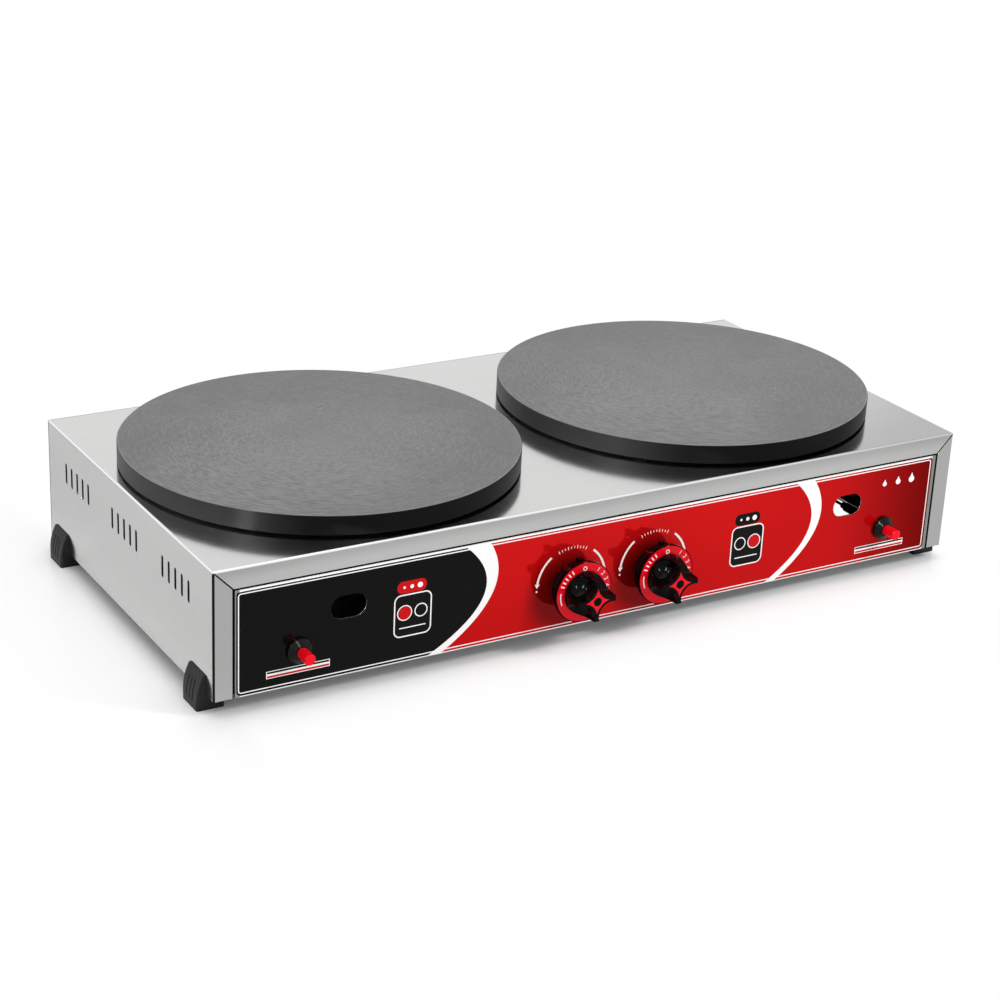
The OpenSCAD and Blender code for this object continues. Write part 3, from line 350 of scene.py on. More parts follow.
@dataclass(frozen=True)
class BrushedSheet(Finish):
    """Stainless sheet, brushed along X, with faint clouds and wiped streaks.

    Farther out than side_from along X, the brush marks run along Y.
    """

    colour: str = "#d2d2d1"
    roughness: float = 0.15
    contrast: float = 0.05
    side_from: float = 10.0
    grain_length: float = 5.0
    grain_fineness: float = 1500.0
    edge: float = 0.4 * MM

    def tint(self, s: Shader, place: Wire, colour: Wire) -> tuple[Wire, Wire]:
        """What the sheet's place changes.

        Args:
            s: The shader.
            place: The place on the sheet.
            colour: The brushed colour.

        Returns:
            The colour to show, and a mask of where painted shade makes the sheet dark.
        """
        raise NotImplementedError

    def build(self, s: Shader) -> Wire:
        """Adds the grain, the clouds, the rounded edges and the painted dark inside.

        Args:
            s: The shader to add them to.

        Returns:
            The surface.
        """
        place = s.position()
        x, _, _ = s.axes(place)
        long, fine = self.grain_length, self.grain_fineness
        lengthwise = s.noise(s.stretch(place, (long, fine, fine)), 1.0, 3.0)
        sidewise = s.noise(s.stretch(place, (fine, long, fine)), 1.0, 3.0)
        side = x.size().rise(self.side_from - 0.4 * MM, self.side_from)
        grain = lengthwise + (sidewise - lengthwise) * side
        clouds = s.noise(place, 7.0, 4.0, 0.6)
        wiped = s.noise(s.stretch(place, (4.0, 60.0, 60.0)), 1.0, 2.0)
        tone = (grain * 0.7 + clouds * 0.2 + wiped * 0.1).rise(0.3, 0.7)
        colour = s.shades(tone, self.colour, 1 - self.contrast, 1 + self.contrast)
        roughness = grain * 0.08 + clouds * 0.06 + (self.roughness - 0.07)
        normal = s.bump(grain, 0.1, 0.05 * MM, s.rounded(self.edge))
        shown, painted_dark = self.tint(s, place, colour)
        sheet = s.surface(Base_Color=shown, Metallic=1.0, Roughness=roughness, Normal=normal)
        # Painted shade: a near-black surface stands in for the shade inside the sheet, in its cuts and
        # behind the panel's face.
        dark = s.blend(clouds, srgb("#060606"), srgb("#111110"))
        painted_dark_surface = s.surface(Base_Color=dark, Roughness=0.9, Normal=normal, Specular_IOR_Level=0.1)
        return s.mix(painted_dark, sheet, painted_dark_surface)


class CasingPlace:
    """A place on the casing's sheet, in distances from the casing's edges and in masks."""

    skin: Pair = (0.3 * MM, 0.6 * MM)

    def __init__(self, s: Shader, place: Wire, sheet: "CasingSheet") -> None:
        """Works them out.

        Args:
            s: The shader.
            place: The place on the sheet.
            sheet: The sheet, for the sizes of its folds, posts and rail.
        """
        near, deep = self.skin
        self.x, self.y, self.z = s.axes(place)
        out, off_middle = self.x.size(), (self.y - CASING_MIDDLE_Y).size()
        self.over_x = (out - (CASING_HALF_W - sheet.fold)).larger(0.0)
        self.over_y = (off_middle - (CASING_HALF_D - sheet.fold)).larger(0.0)
        self.over_z = (self.z - (CASING_TOP - sheet.fold)).larger(0.0)
        self.below = self.z * -1.0 + CASING_TOP
        self.inwards = out * -1.0 + CASING_HALF_W
        self.on_front = self.y.fall(CASING_LOW.y + near, CASING_LOW.y + deep)
        self.on_side = out.rise(CASING_HALF_W - deep, CASING_HALF_W - near)
        self.on_top = self.z.rise(CASING_TOP - deep, CASING_TOP - near)
        mitre = self.below * (sheet.post_w / sheet.rail_h) - self.inwards
        self.on_post = mitre.rise(-0.2 * MM, 0.4 * MM)


@dataclass(frozen=True)
class CasingSheet(BrushedSheet):
    """The casing's sheet: painted shade makes it dark inside and in its seams and darker on its posts
    and at its ends; a painted highlight runs along its top folds.
    """

    fold: float = 2.2 * MM
    post_w: float = 19.6 * MM
    rail_h: float = 20.0 * MM
    seam_low: float = 20.0 * MM
    slots_low: float = 50.0 * MM
    painted_shade: str = "#777777"
    painted_fold_highlight: str = "#ffffff"
    end: Pair = (0.3, 0.42)
    far_right: Pair = (0.2, 0.42)
    side_foot: Pair = (0.02, 0.06)
    side_head: float = 0.08
    light_fade: Pair = (-0.1, 0.4)
    line_fade: Pair = (-0.1, 0.1)

    def tint(self, s: Shader, place: Wire, colour: Wire) -> tuple[Wire, Wire]:
        """Paints shade on the sheet, a highlight on its top folds and a dark inside.

        Args:
            s: The shader.
            place: The place on the sheet.
            colour: The brushed colour.

        Returns:
            The colour to show, and a mask of the painted dark.
        """
        at = CasingPlace(s, place, self)
        # Painted shade: the sheet is blended towards a grey on its posts, rail, ends, sides and top.
        colour = s.blend(self.painted_shade_mask(at), colour, srgb(self.painted_shade))
        # Painted highlight: a white line along the folds round the top.
        colour = s.blend(self.lit(at), colour, srgb(self.painted_fold_highlight))
        return colour, self.painted_dark(s, at)

    def painted_shade_mask(self, at: CasingPlace) -> Wire:
        """How much painted shade darkens the sheet on its front, its sides and its top.

        Args:
            at: The place.

        Returns:
            A mask.
        """
        # Painted shade: darker posts, a rail darker towards its top, front darker near both ends, sides
        # darker above their foot and lighter near the top, a top darker towards the front right.
        rail = (1.0 - at.on_post) * at.z.rise(CASING_TOP - 0.8 * self.rail_h, CASING_TOP)
        ends = (at.x * -1.0).rise(*self.end) * 0.1 + at.x.rise(*self.end) * 0.08
        front = at.on_post * 0.2 + rail * 0.3 + ends
        head = at.z.rise(self.side_head, CASING_TOP)
        side = at.z.rise(*self.side_foot) * 0.08 - head * 0.1 + 0.08
        top = (at.x * 0.6 - at.y).rise(*self.far_right) * 0.5
        return (at.on_front * front + at.on_side * side + at.on_top * top).clamped()

    def lit(self, at: CasingPlace) -> Wire:
        """The painted highlight along the folds round the top, weaker towards the right.

        Args:
            at: The place.

        Returns:
            A mask.
        """
        # Painted highlight: white along the top folds.
        beside = (at.over_x + at.over_y).rise(0.5 * MM, 1.2 * MM)
        strength = 0.7 - at.x.rise(*self.light_fade) * 0.6
        return at.over_z.rise(0.3 * MM, 1.0 * MM) * beside * strength

    def painted_dark(self, s: Shader, at: CasingPlace) -> Wire:
        """Where painted shade makes the sheet dark: inside, in a painted dark reflection along an
        upright fold on the left, on a post's lip or in a cut.

        Args:
            s: The shader.
            at: The place.

        Returns:
            A mask.
        """
        # Painted shade: the inside, the post's lip and the cut walls go dark; the line along the left
        # upright fold is a painted dark reflection.
        from_core = length(at.over_x, at.over_y, at.over_z)
        inside = from_core.fall(self.fold - 0.35 * MM, self.fold - 0.2 * MM)
        line = at.over_x.rise(0.2 * MM, 0.5 * MM) * at.over_y.rise(0.2 * MM, 0.5 * MM)
        line = line * at.x.fall(*self.line_fade) * at.below.rise(1.0 * MM, 2.0 * MM)
        lip = at.inwards.rise(self.post_w - 0.9 * MM, self.post_w - 0.6 * MM)
        on_seam = at.on_front * at.z.rise(self.seam_low, self.seam_low + 2.0 * MM)
        on_slots = at.on_side * at.z.rise(self.slots_low, self.slots_low + 10.0 * MM)
        cut = s.near_edge(0.5 * MM).rise(0.01, 0.08) * on_slots.larger(on_seam)
        return inside.larger(line).larger(at.on_front * at.on_post * lip).larger(cut)


@dataclass(frozen=True)
class PanelSheet(BrushedSheet):
    """The control panel's sheet: painted bright in front, with painted shade at both ends and behind
    its face.
    """

    end_w: float = 3.6 * MM
    end_blur: float = 2.0 * MM
    painted_shade: str = "#858787"

    def tint(self, s: Shader, place: Wire, colour: Wire) -> tuple[Wire, Wire]:
        """Paints shade on both ends and on all that lies behind the face.

        Args:
            s: The shader.
            place: The place on the sheet.
            colour: The brushed colour.

        Returns:
            The colour to show, and a mask of the painted dark behind the face.
        """
        x, y, _ = s.axes(place)
        # Painted shade: all behind the face is dark, and both ends are darker.
        behind = y.rise(PANEL_LOW.y + 0.2 * MM, PANEL_LOW.y + 0.4 * MM)
        end_from = PANEL_HIGH.x - self.end_w
        end = x.size().rise(end_from - self.end_blur, end_from)
        return s.blend(end * 0.9, colour, srgb(self.painted_shade)), behind


@dataclass(frozen=True)
class GriddleIron(Finish):
    """Cast iron with a turned cooking face, a worn edge and a near-black side, with painted sheen and
    shade on the face, a painted highlight on the edge and painted light on the left of the side.
    """

    low: Vector
    high: Vector
    painted_sheen_x: float = 0.1
    painted_sheen_y: float = 0.075
    painted_sheen_r: float = 0.17
    wear_and_highlight_w: float = 2.0 * MM
    edge_r: float = 0.6 * MM
    rings_out: float = 45.0 * MM
    streaks_round: float = 13.0
    streaks_out: float = 760.0
    face: str = "#626263"
    wear_and_highlight: str = "#8a8a8a"
    side: str = "#070707"
    painted_side_light: str = "#3e3e3e"

    def build(self, s: Shader) -> Wire:
        """Adds the turned streaks, the rings round the middle, the cast skin, the worn edge with its
        painted highlight, and the painted sheen and shade.

        Args:
            s: The shader to add them to.

        Returns:
            The surface.
        """
        place = s.position()
        x, y, z = s.axes(place)
        centre, radius = middle(self.low, self.high), (self.high.x - self.low.x) / 2
        across, along = x - centre.x, y - centre.y
        reach = length(across, along)
        on_face = z.rise(self.high.z - 0.5 * MM, self.high.z - 0.2 * MM)
        round_x, round_y = across / (reach + 1e-4), along / (reach + 1e-4)
        turns = self.streaks_round
        turned = s.vector(round_x * turns, round_y * turns, reach * self.streaks_out)
        streaks = s.noise(turned, 1.0, 3.0, 0.4)
        rings = s.noise(s.vector(round_x * 2.0, round_y * 2.0, reach * 160.0), 1.0, 1.0)
        skin = s.noise(place, 620.0, 2.0, 0.3)
        clouds = s.noise(place, 9.0, 3.0, 0.8)
        near = reach.fall(4.0 * MM, self.rings_out)
        # Painted sheen: the face is lighter, with stronger marks, round a spot to the front left of its
        # middle.
        lit = length(across + self.painted_sheen_x, along + self.painted_sheen_y).fall(0.0, self.painted_sheen_r)
        height = streaks * (0.4 + lit * 0.6) + rings * (0.15 + near * 0.8) + skin * 0.4
        marks = (streaks.rise(0.38, 0.62) - 0.5) * (0.62 + lit * 1.5)
        marks = marks + (skin.rise(0.38, 0.62) - 0.5) * 0.5 + (rings - 0.5) * near * 0.8
        # Painted shade: the face darkens towards its rim.
        outer = reach.rise(0.3 * radius, radius)
        tone = (marks + clouds.rise(0.3, 0.7) * 0.3 + lit * 0.62 - outer * 0.4 + 0.4).clamped()
        # Worn rim and painted highlight: the face's edge is lightened towards a light grey.
        edge = on_face * reach.rise(radius - self.wear_and_highlight_w, radius - 0.45 * self.wear_and_highlight_w)
        face_colour = s.blend(edge * 0.35, s.shades(tone, self.face, 0.72, 1.4), srgb(self.wear_and_highlight))
        # Painted light: the side is lighter towards the left.
        to_left = (round_x * -1.0).rise(0.45, 1.0)
        side_colour = s.blend(to_left, s.shades(clouds, self.side, 0.6, 1.6), srgb(self.painted_side_light))
        roundness = s.rounded(self.edge_r)
        plate = s.surface(
            Base_Color=face_colour,
            Roughness=0.42 + tone * 0.1,
            Normal=s.bump(height, 0.45, 0.3 * MM, roundness),
            Specular_IOR_Level=0.36,
        )
        wall = s.surface(
            Base_Color=side_colour,
            Roughness=0.34 + clouds * 0.1,
            Normal=s.bump(skin, 0.25, 0.2 * MM, roundness),
            Specular_IOR_Level=0.08,
        )
        return s.mix(on_face, wall, plate)


@dataclass(frozen=True)
class Boundary:
    """An edge between two printed fields: x = bend h^2 + lean h + middle at height h above a level."""

    bend: float
    lean: float
    middle: float
    softness: float = 0.12 * MM

    def passed(self, x: Wire, h: Wire) -> Wire:
        """How far a place has passed the edge: 0 or 1, with a thin soft step between them."""
        edge = (h * self.bend + self.lean) * h + self.middle
        return ((x - edge) / self.softness + 0.5).clamped()


@dataclass(frozen=True)
class PrintedFilm(Finish):
    """Glossy control panel film: black field, two white sweeps and a red metallic lacquer.

    A thin white band along its top is a painted highlight. Painted shade makes the lacquer darker, and
    it is more metallic, at the right end, darker towards the bottom and the right, and a painted shadow
    darkens it at the lower left of each knob.
    """

    level: float = 0.085
    black_to_white: Boundary = Boundary(-14.737, -0.0939, -0.1434)
    white_to_red: Boundary = Boundary(-10.661, 0.1427, -0.1315)
    red_to_white: Boundary = Boundary(-13.29, -0.1197, 0.2429)
    white_to_end: Boundary = Boundary(-10.566, 0.0602, 0.2550)
    black: str = "#080706"
    white: str = "#f8f8f7"
    red: str = "#d51012"
    painted_low_shade_red: str = "#c90c0f"
    painted_shade_red: str = "#800101"
    painted_shadow_red: str = "#2c0606"
    painted_shade_x: Pair = (0.25, 0.44)
    low_x: Pair = (0.1, 0.28)
    low_z: Pair = (0.03, 0.1)
    painted_highlight_w: float = 0.5 * MM
    shade_left: float = 8.0 * MM
    shade_down: float = 9.0 * MM
    shade_out: float = 50.0 * MM

    def build(self, s: Shader) -> Wire:
        """Adds the printed fields, the painted shade, shadow and highlight, and the film's fine gloss.

        Args:
            s: The shader to add them to.

        Returns:
            The surface.
        """
        place = s.position()
        x, _, z = s.axes(place)
        edges = (self.black_to_white, self.white_to_red, self.red_to_white, self.white_to_end)
        white_left, red_left, white_right, red_right = (
            edge.passed(x, z - self.level) for edge in edges
        )
        # Painted highlight: a white band along the film's top stands for light on the panel's top bend.
        painted_highlight_from = FILM_HIGH.z - self.painted_highlight_w
        white = white_left * (1.0 - red_left) + white_right * (1.0 - red_right)
        white = white.larger(z.rise(painted_highlight_from - 0.1 * MM, painted_highlight_from))
        mottle = s.noise(place, 900.0, 2.0)
        clouds = s.noise(place, 12.0, 2.0)
        # Painted shade: the red darkens towards the right end.
        end = x.rise(*self.painted_shade_x)
        # Painted shade: the red darkens towards the bottom and towards the right.
        low = z.fall(*self.low_z) + x.rise(*self.low_x)
        depth = end * 1.1 + (mottle - 0.5) * 0.12 + clouds * 0.05
        red = s.blend(low.clamped(), srgb(self.red), srgb(self.painted_low_shade_red))
        red = s.blend(depth.clamped(), red, srgb(self.painted_shade_red))
        # Painted shadow: the red darkens at the lower left of each knob.
        past_knob = (x + self.shade_left).size() - RIGHT_KNOB.x
        below_knob = z - (RIGHT_KNOB.z - self.shade_down)
        near_knob = length(past_knob, below_knob).fall(0.55 * self.shade_out, self.shade_out)
        red = s.blend(near_knob * 0.6, red, srgb(self.painted_shadow_red))
        colour = s.blend(1.0 - white_left, red, srgb(self.black))
        return s.surface(
            Base_Color=s.blend(white, colour, srgb(self.white)),
            Metallic=white_left * (1.0 - white) * (0.38 + end * 0.5),
            Roughness=0.05 + mottle * 0.03 + clouds * 0.02,
            Normal=s.bump(mottle, 0.04, 0.02 * MM),
            Specular_IOR_Level=0.1,
        )


@dataclass(frozen=True)
class Ink(Finish):
    """Screen-printed ink with a slightly uneven film."""

    colour: str = "#ffffff"

    def build(self, s: Shader) -> Wire:
        """Adds the ink's mottle.

        Args:
            s: The shader to add it to.

        Returns:
            The surface.
        """
        mottle = s.noise(s.position(), 800.0, 2.0)
        return s.surface(
            Base_Color=s.shades(mottle, self.colour, 0.94, 1.03),
            Roughness=0.2 + mottle * 0.1,
            Normal=s.bump(mottle, 0.05, 0.02 * MM),
            Specular_IOR_Level=0.12,
        )


@dataclass(frozen=True)
class Moulding(Finish):
    """Moulded plastic with a fine skin, flow clouds and rounded edges."""

    colour: str = "#171614"
    roughness: float = 0.25
    gloss: float = 0.4
    skin: float = 900.0
    relief: float = 0.08
    edge: float = 0.6 * MM
    lift: float = 1.5

    def build(self, s: Shader) -> Wire:
        """Adds the skin, the clouds and the rounded edges.

        Args:
            s: The shader to add them to.

        Returns:
            The surface.
        """
        place = s.position()
        skin = s.noise(place, self.skin, 3.0)
        clouds = s.noise(place, 45.0, 3.0, 0.5)
        return s.surface(
            Base_Color=s.shades(clouds, self.colour, 0.75, self.lift),
            Roughness=skin * 0.1 + clouds * 0.1 + (self.roughness - 0.1),
            Normal=s.bump(skin, self.relief, 0.08 * MM, s.rounded(self.edge)),
            Specular_IOR_Level=self.gloss,
        )


@dataclass(frozen=True)
class SpangledSheet(Finish):
    """Galvanised sheet with its crystal-like spangle."""

    colour: str = "#a9adb0"
    roughness: float = 0.42

    def build(self, s: Shader) -> Wire:
        """Adds the spangle and the dull film on it.

        Args:
            s: The shader to add them to.

        Returns:
            The surface.
        """
        place = s.position()
        spangle = s.cells(place, 130.0)
        clouds = s.noise(place, 15.0, 3.0)
        tone = (spangle * 0.6 + clouds * 0.4).clamped()
        return s.surface(
            Base_Color=s.shades(tone, self.colour, 0.8, 1.12),
            Metallic=0.95,
            Roughness=self.roughness - 0.1 + tone * 0.2,
            Normal=s.bump(spangle, 0.1, 0.05 * MM, s.rounded(0.2 * MM)),
        )


@dataclass(frozen=True)
class WorkedMetal(Finish):
    """Turned or drawn metal with tool marks and a stained, darker tarnish."""

    colour: str = "#c9a348"
    stain: str = "#6f5426"
    stained: float = 0.35
    roughness: float = 0.3
    marks: float = 1200.0

    def build(self, s: Shader) -> Wire:
        """Adds the tool marks and the stain.

        Args:
            s: The shader to add them to.

        Returns:
            The surface.
        """
        place = s.position()
        marks = s.noise(s.stretch(place, (self.marks, self.marks * 0.2, self.marks)), 1.0, 2.0)
        tarnish = s.noise(place, 60.0, 4.0, 0.8).rise(0.45, 0.75) * self.stained
        clean = s.shades(marks, self.colour, 0.88, 1.1)
        return s.surface(
            Base_Color=s.blend(tarnish, clean, srgb(self.stain)),
            Metallic=1.0,
            Roughness=self.roughness + marks * 0.08 + tarnish * 0.3,
            Normal=s.bump(marks, 0.12, 0.05 * MM, s.rounded(0.25 * MM)),
        )


@dataclass(frozen=True)
class GlazedCeramic(Finish):
    """Off-white ceramic with a thin glaze and specks."""

    colour: str = "#ece6d8"
    speck: str = "#a79f8d"

    def build(self, s: Shader) -> Wire:
        """Adds the specks and the glaze.

        Args:
            s: The shader to add them to.

        Returns:
            The surface.
        """
        place = s.position()
        specks = s.noise(place, 1400.0, 2.0).rise(0.62, 0.7)
        colour = s.blend(specks * 0.4, srgb(self.colour), srgb(self.speck))
        normal = s.bump(s.noise(place, 300.0, 2.0), 0.06, 0.05 * MM, s.rounded(0.3 * MM))
        return s.surface(Base_Color=colour, Roughness=0.3 + specks * 0.3, Normal=normal)


WHITE_INK = Ink("white_ink", "#fafaf9")
RED_INK = Ink("red_ink", "#c80408")
BLACK_INK = Ink("black_ink", "#080706")

SLOT_FINISHES: dict[str, Finish] = {
    finish.name: finish
    for finish in (
        CasingSheet(
            "casing_steel", contrast=0.035, side_from=CASING_HALF_W - 0.8 * MM, edge=0.8 * MM
        ),
        # Painted light: the panel's steel has a pure white base, brighter than the casing's steel.
        PanelSheet("panel_steel", colour="#ffffff", roughness=0.4, contrast=0.01),
        SpangledSheet("galvanised_steel"),
        WorkedMetal("zinc_steel", "#b4b6b4", "#7d7a70", 0.25, 0.32),
        WorkedMetal("burner_steel", "#8b857c", "#4a3a2c", 0.6, 0.42),
        PrintedFilm("label"),
        Moulding("knob_black", "#050303", 0.15, 0.07, edge=0.5 * MM),
        Moulding("knob_red", "#ea0a1f", 0.2, 0.14, relief=0.03, edge=0.2 * MM, lift=1.1),
        Moulding("red_button", "#f80a20", 0.25, 0.14, edge=0.5 * MM, lift=1.1),
        Moulding("igniter_plastic", "#090807", 0.16, 0.16, edge=0.4 * MM),
        Moulding("foot_plastic", "#151515", 0.45, 0.22, 500.0, 0.25, 2.0 * MM),
        WorkedMetal("brass"),
        WorkedMetal("copper", "#b5683f", "#4f2f24", 0.5, 0.32),
        GlazedCeramic("ceramic"),
        Moulding("wire", "#101010", 0.45, 0.2, 1500.0, 0.1, 0.2 * MM),
    )
}
COLLAR_BLACK = Moulding("collar_black", "#050303", 0.22, 0.06, edge=0.5 * MM)
DARK_STEEL = WorkedMetal("dark_steel", "#262626", "#141414", 0.5, 0.5)
NODE_FINISHES: dict[str, Finish] = {
    f"{part}_{side.value}": finish
    for part, finish in (("knob_collar", COLLAR_BLACK), ("plate_pins", DARK_STEEL))
    for side in Side
}


# ---- Modelling -------------------------------------------------------------------------


class Bench:
    """Modelling steps by Blender's own operators, on one active piece at a time."""

    @staticmethod
    def pick(*pieces: Piece) -> None:
        """Selects pieces alone and makes the first one active.

        Args:
            pieces: One piece or more.
        """
        bpy.ops.object.select_all(action="DESELECT")
        for piece in pieces:
            piece.select_set(True)
        bpy.context.view_layer.objects.active = pieces[0]

    @staticmethod
    @contextmanager
    def editing(piece: Piece) -> Iterator[None]:
        """Enters edit mode with everything selected, and leaves it at the end.

        Args:
            piece: The piece to edit.
        """
        Bench.pick(piece)
        bpy.ops.object.mode_set(mode="EDIT")
        bpy.ops.mesh.select_all(action="SELECT")
        yield
        bpy.ops.object.mode_set(mode="OBJECT")

    @staticmethod
    def choose(kind: Element, test: Callable[[Any], bool]) -> None:
        """Selects some elements of the piece that is being edited, and nothing else.

        Args:
            kind: The kind of element.
            test: Takes an element of the mesh, and says whether to select it.
        """
        bpy.ops.mesh.select_mode(type=kind.name)
        bpy.ops.mesh.select_all(action="DESELECT")
        mesh = bmesh.from_edit_mesh(bpy.context.object.data)
        for element in getattr(mesh, kind.value):
            element.select_set(test(element))
        mesh.select_flush_mode()
        bmesh.update_edit_mesh(bpy.context.object.data)

    @staticmethod
    def new(name: str) -> Piece:
        """Names the primitive that was just added.

        Args:
            name: Its name.

        Returns:
            The piece.
        """
        piece = bpy.context.object
        piece.name = piece.data.name = name
        return piece

    @staticmethod
    def apply_modifier(piece: Piece, kind: str, **settings: Any) -> None:
        """Adds a modifier, sets it and applies it.

        Args:
            piece: The piece to change.
            kind: The modifier's type.
            settings: The modifier's settings by name.
        """
        Bench.pick(piece)
        modifier = piece.modifiers.new(kind.lower(), kind)
        for name, value in settings.items():
            setattr(modifier, name, value)
        bpy.ops.object.modifier_apply(modifier=modifier.name)

    @staticmethod
    def thicken(piece: Piece, thickness: float) -> Piece:
        """Gives a flat piece a thickness, half of it on either side."""
        Bench.apply_modifier(piece, "SOLIDIFY", thickness=thickness, offset=0.0)
        return piece

    @staticmethod
    def join(name: str, pieces: list[Piece]) -> Piece:
        """Joins pieces into one.

        Args:
            name: Its new name.
            pieces: One piece or more.

        Returns:
            The joined piece.
        """
        Bench.pick(*pieces)
        if len(pieces) > 1:
            bpy.ops.object.join()
        return Bench.new(name)

    @staticmethod
    def fix(piece: Piece) -> Piece:
        """Puts the piece's place, turn and scale into its mesh.

        Args:
            piece: The piece.

        Returns:
            The same piece.
        """
        Bench.pick(piece)
        bpy.ops.object.transform_apply(location=True, rotation=True, scale=True)
        return piece

    @staticmethod
    def settle(piece: Piece) -> None:
        """Fixes a piece, closes its doubles and turns its faces outwards.

        Args:
            piece: The piece.
        """
        with Bench.editing(Bench.fix(piece)):
            bpy.ops.mesh.remove_doubles(threshold=WELD)
            bpy.ops.mesh.normals_make_consistent(inside=False)

    @staticmethod
    def stand_on_front(piece: Piece, place: Vector, mirrored: bool = False) -> None:
        """Stands a flat piece that was drawn in X and Y on the front, facing the user.

        Args:
            piece: The piece, drawn round the origin.
            place: Where its origin goes. Its middle plane has this place's depth.
            mirrored: Whether left and right change places.
        """
        piece.rotation_euler = Euler((math.pi / 2, 0, 0))
        piece.location = place
        if mirrored:
            piece.scale.x = -1
        Bench.settle(piece)

    @staticmethod
    def done(piece: Piece, finish: Finish, body: str, slot: str, angle: float = 30.0) -> None:
        """Smooths and dresses a settled piece, and makes it ride on its body.

        Args:
            piece: The piece.
            finish: Its finish.
            body: The CAD body that it moves with.
            slot: Not used.
            angle: The sharpest edge in degrees that is still shaded smooth.
        """
        Bench.pick(piece)
        bpy.ops.object.shade_smooth_by_angle(angle=math.radians(angle))
        piece.data.materials.clear()
        piece.data.materials.append(finish.material())
        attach(piece, body)
        log.info("%s: %d faces on %s", piece.name, len(piece.data.polygons), body)


class Flat:
    """Flat shapes for prints, drawn round the origin in X and Y."""

    arc_step: float = 3.0

    @staticmethod
    def plate(name: str, width: float, height: float, radius: float = 0.0) -> Piece:
        """A rectangle.

        Args:
            name: The piece's name.
            width: Its size along X.
            height: Its size along Y.
            radius: The corners' radius.

        Returns:
            The piece, with one face.
        """
        bpy.ops.mesh.primitive_plane_add(size=1)
        piece = Bench.new(name)
        with Bench.editing(piece):
            bpy.ops.transform.resize(value=(width, height, 1))
            if radius > 0:
                bpy.ops.mesh.bevel(offset=radius, segments=8, affect="VERTICES")
        return piece

    @staticmethod
    def hollow(piece: Piece, line: float) -> Piece:
        """Leaves only a line along the outline of a one-faced piece.

        Args:
            piece: The piece.
            line: The line's width.

        Returns:
            The same piece.
        """
        with Bench.editing(piece):
            bpy.ops.mesh.inset(thickness=line)
            bpy.ops.mesh.delete(type="ONLY_FACE")
        return piece

    @staticmethod
    def disc(name: str, radius: float, corners: int = 40) -> Piece:
        """A filled circle."""
        bpy.ops.mesh.primitive_circle_add(vertices=corners, radius=radius, fill_type="NGON")
        return Bench.new(name)

    @staticmethod
    def arc(name: str, radius: float, width: float, start: float, end: float) -> Piece:
        """A band along part of a circle.

        Args:
            name: The piece's name.
            radius: The radius of the band's middle line.
            width: The band's width.
            start: Where it starts, in degrees clockwise from the top.
            end: Where it ends, in the same way.

        Returns:
            The piece.
        """
        bpy.ops.mesh.primitive_plane_add(size=1)
        piece = Bench.new(name)
        with Bench.editing(piece):
            Bench.choose(Element.VERT, lambda vert: vert.co.x > 0)
            bpy.ops.mesh.delete(type="VERT")
            bpy.ops.mesh.select_all(action="SELECT")
            bpy.ops.transform.resize(value=(1, width, 1))
            bpy.ops.transform.translate(value=(0.5, radius, 0))
            steps = max(4, round((end - start) / Flat.arc_step))
            turn = math.radians(end - start)
            bpy.ops.mesh.spin(steps=steps, angle=turn, center=(0, 0, 0), axis=(0, 0, 1))
        return Flat.at(piece, 0, 0, start)

    @staticmethod
    def at(piece: Piece, x: float, y: float, turn: float = 0.0) -> Piece:
        """Moves a flat piece.

        Args:
            piece: The piece, drawn round the origin.
            x: Where its origin goes along X.
            y: Where its origin goes along Y.
            turn: Degrees that it is turned about its origin, clockwise.

        Returns:
            The same piece.
        """
        piece.rotation_euler = Euler((0, 0, -math.radians(turn)))
        piece.location = (x, y, 0)
        return Bench.fix(piece)

    @staticmethod
    def round_at(piece: Piece, radius: float, angle: float) -> Piece:
        """Moves a flat piece onto a circle, upright towards its outside, at degrees from the top."""
        a = math.radians(angle)
        return Flat.at(piece, radius * math.sin(a), radius * math.cos(a), angle)

    @staticmethod
    def digit(name: str, text: str, size: float) -> Piece:
        """A plain number.

        Args:
            name: The piece's name.
            text: The number.
            size: The type's size.

        Returns:
            The piece, a flat mesh.
        """
        bpy.ops.object.text_add()
        piece = bpy.context.object
        piece.data.body = text
        piece.data.size = size
        piece.data.align_x = piece.data.align_y = "CENTER"
        bpy.ops.object.convert(target="MESH")
        return Bench.new(name)


# ---- Sub-assemblies --------------------------------------------------------------------


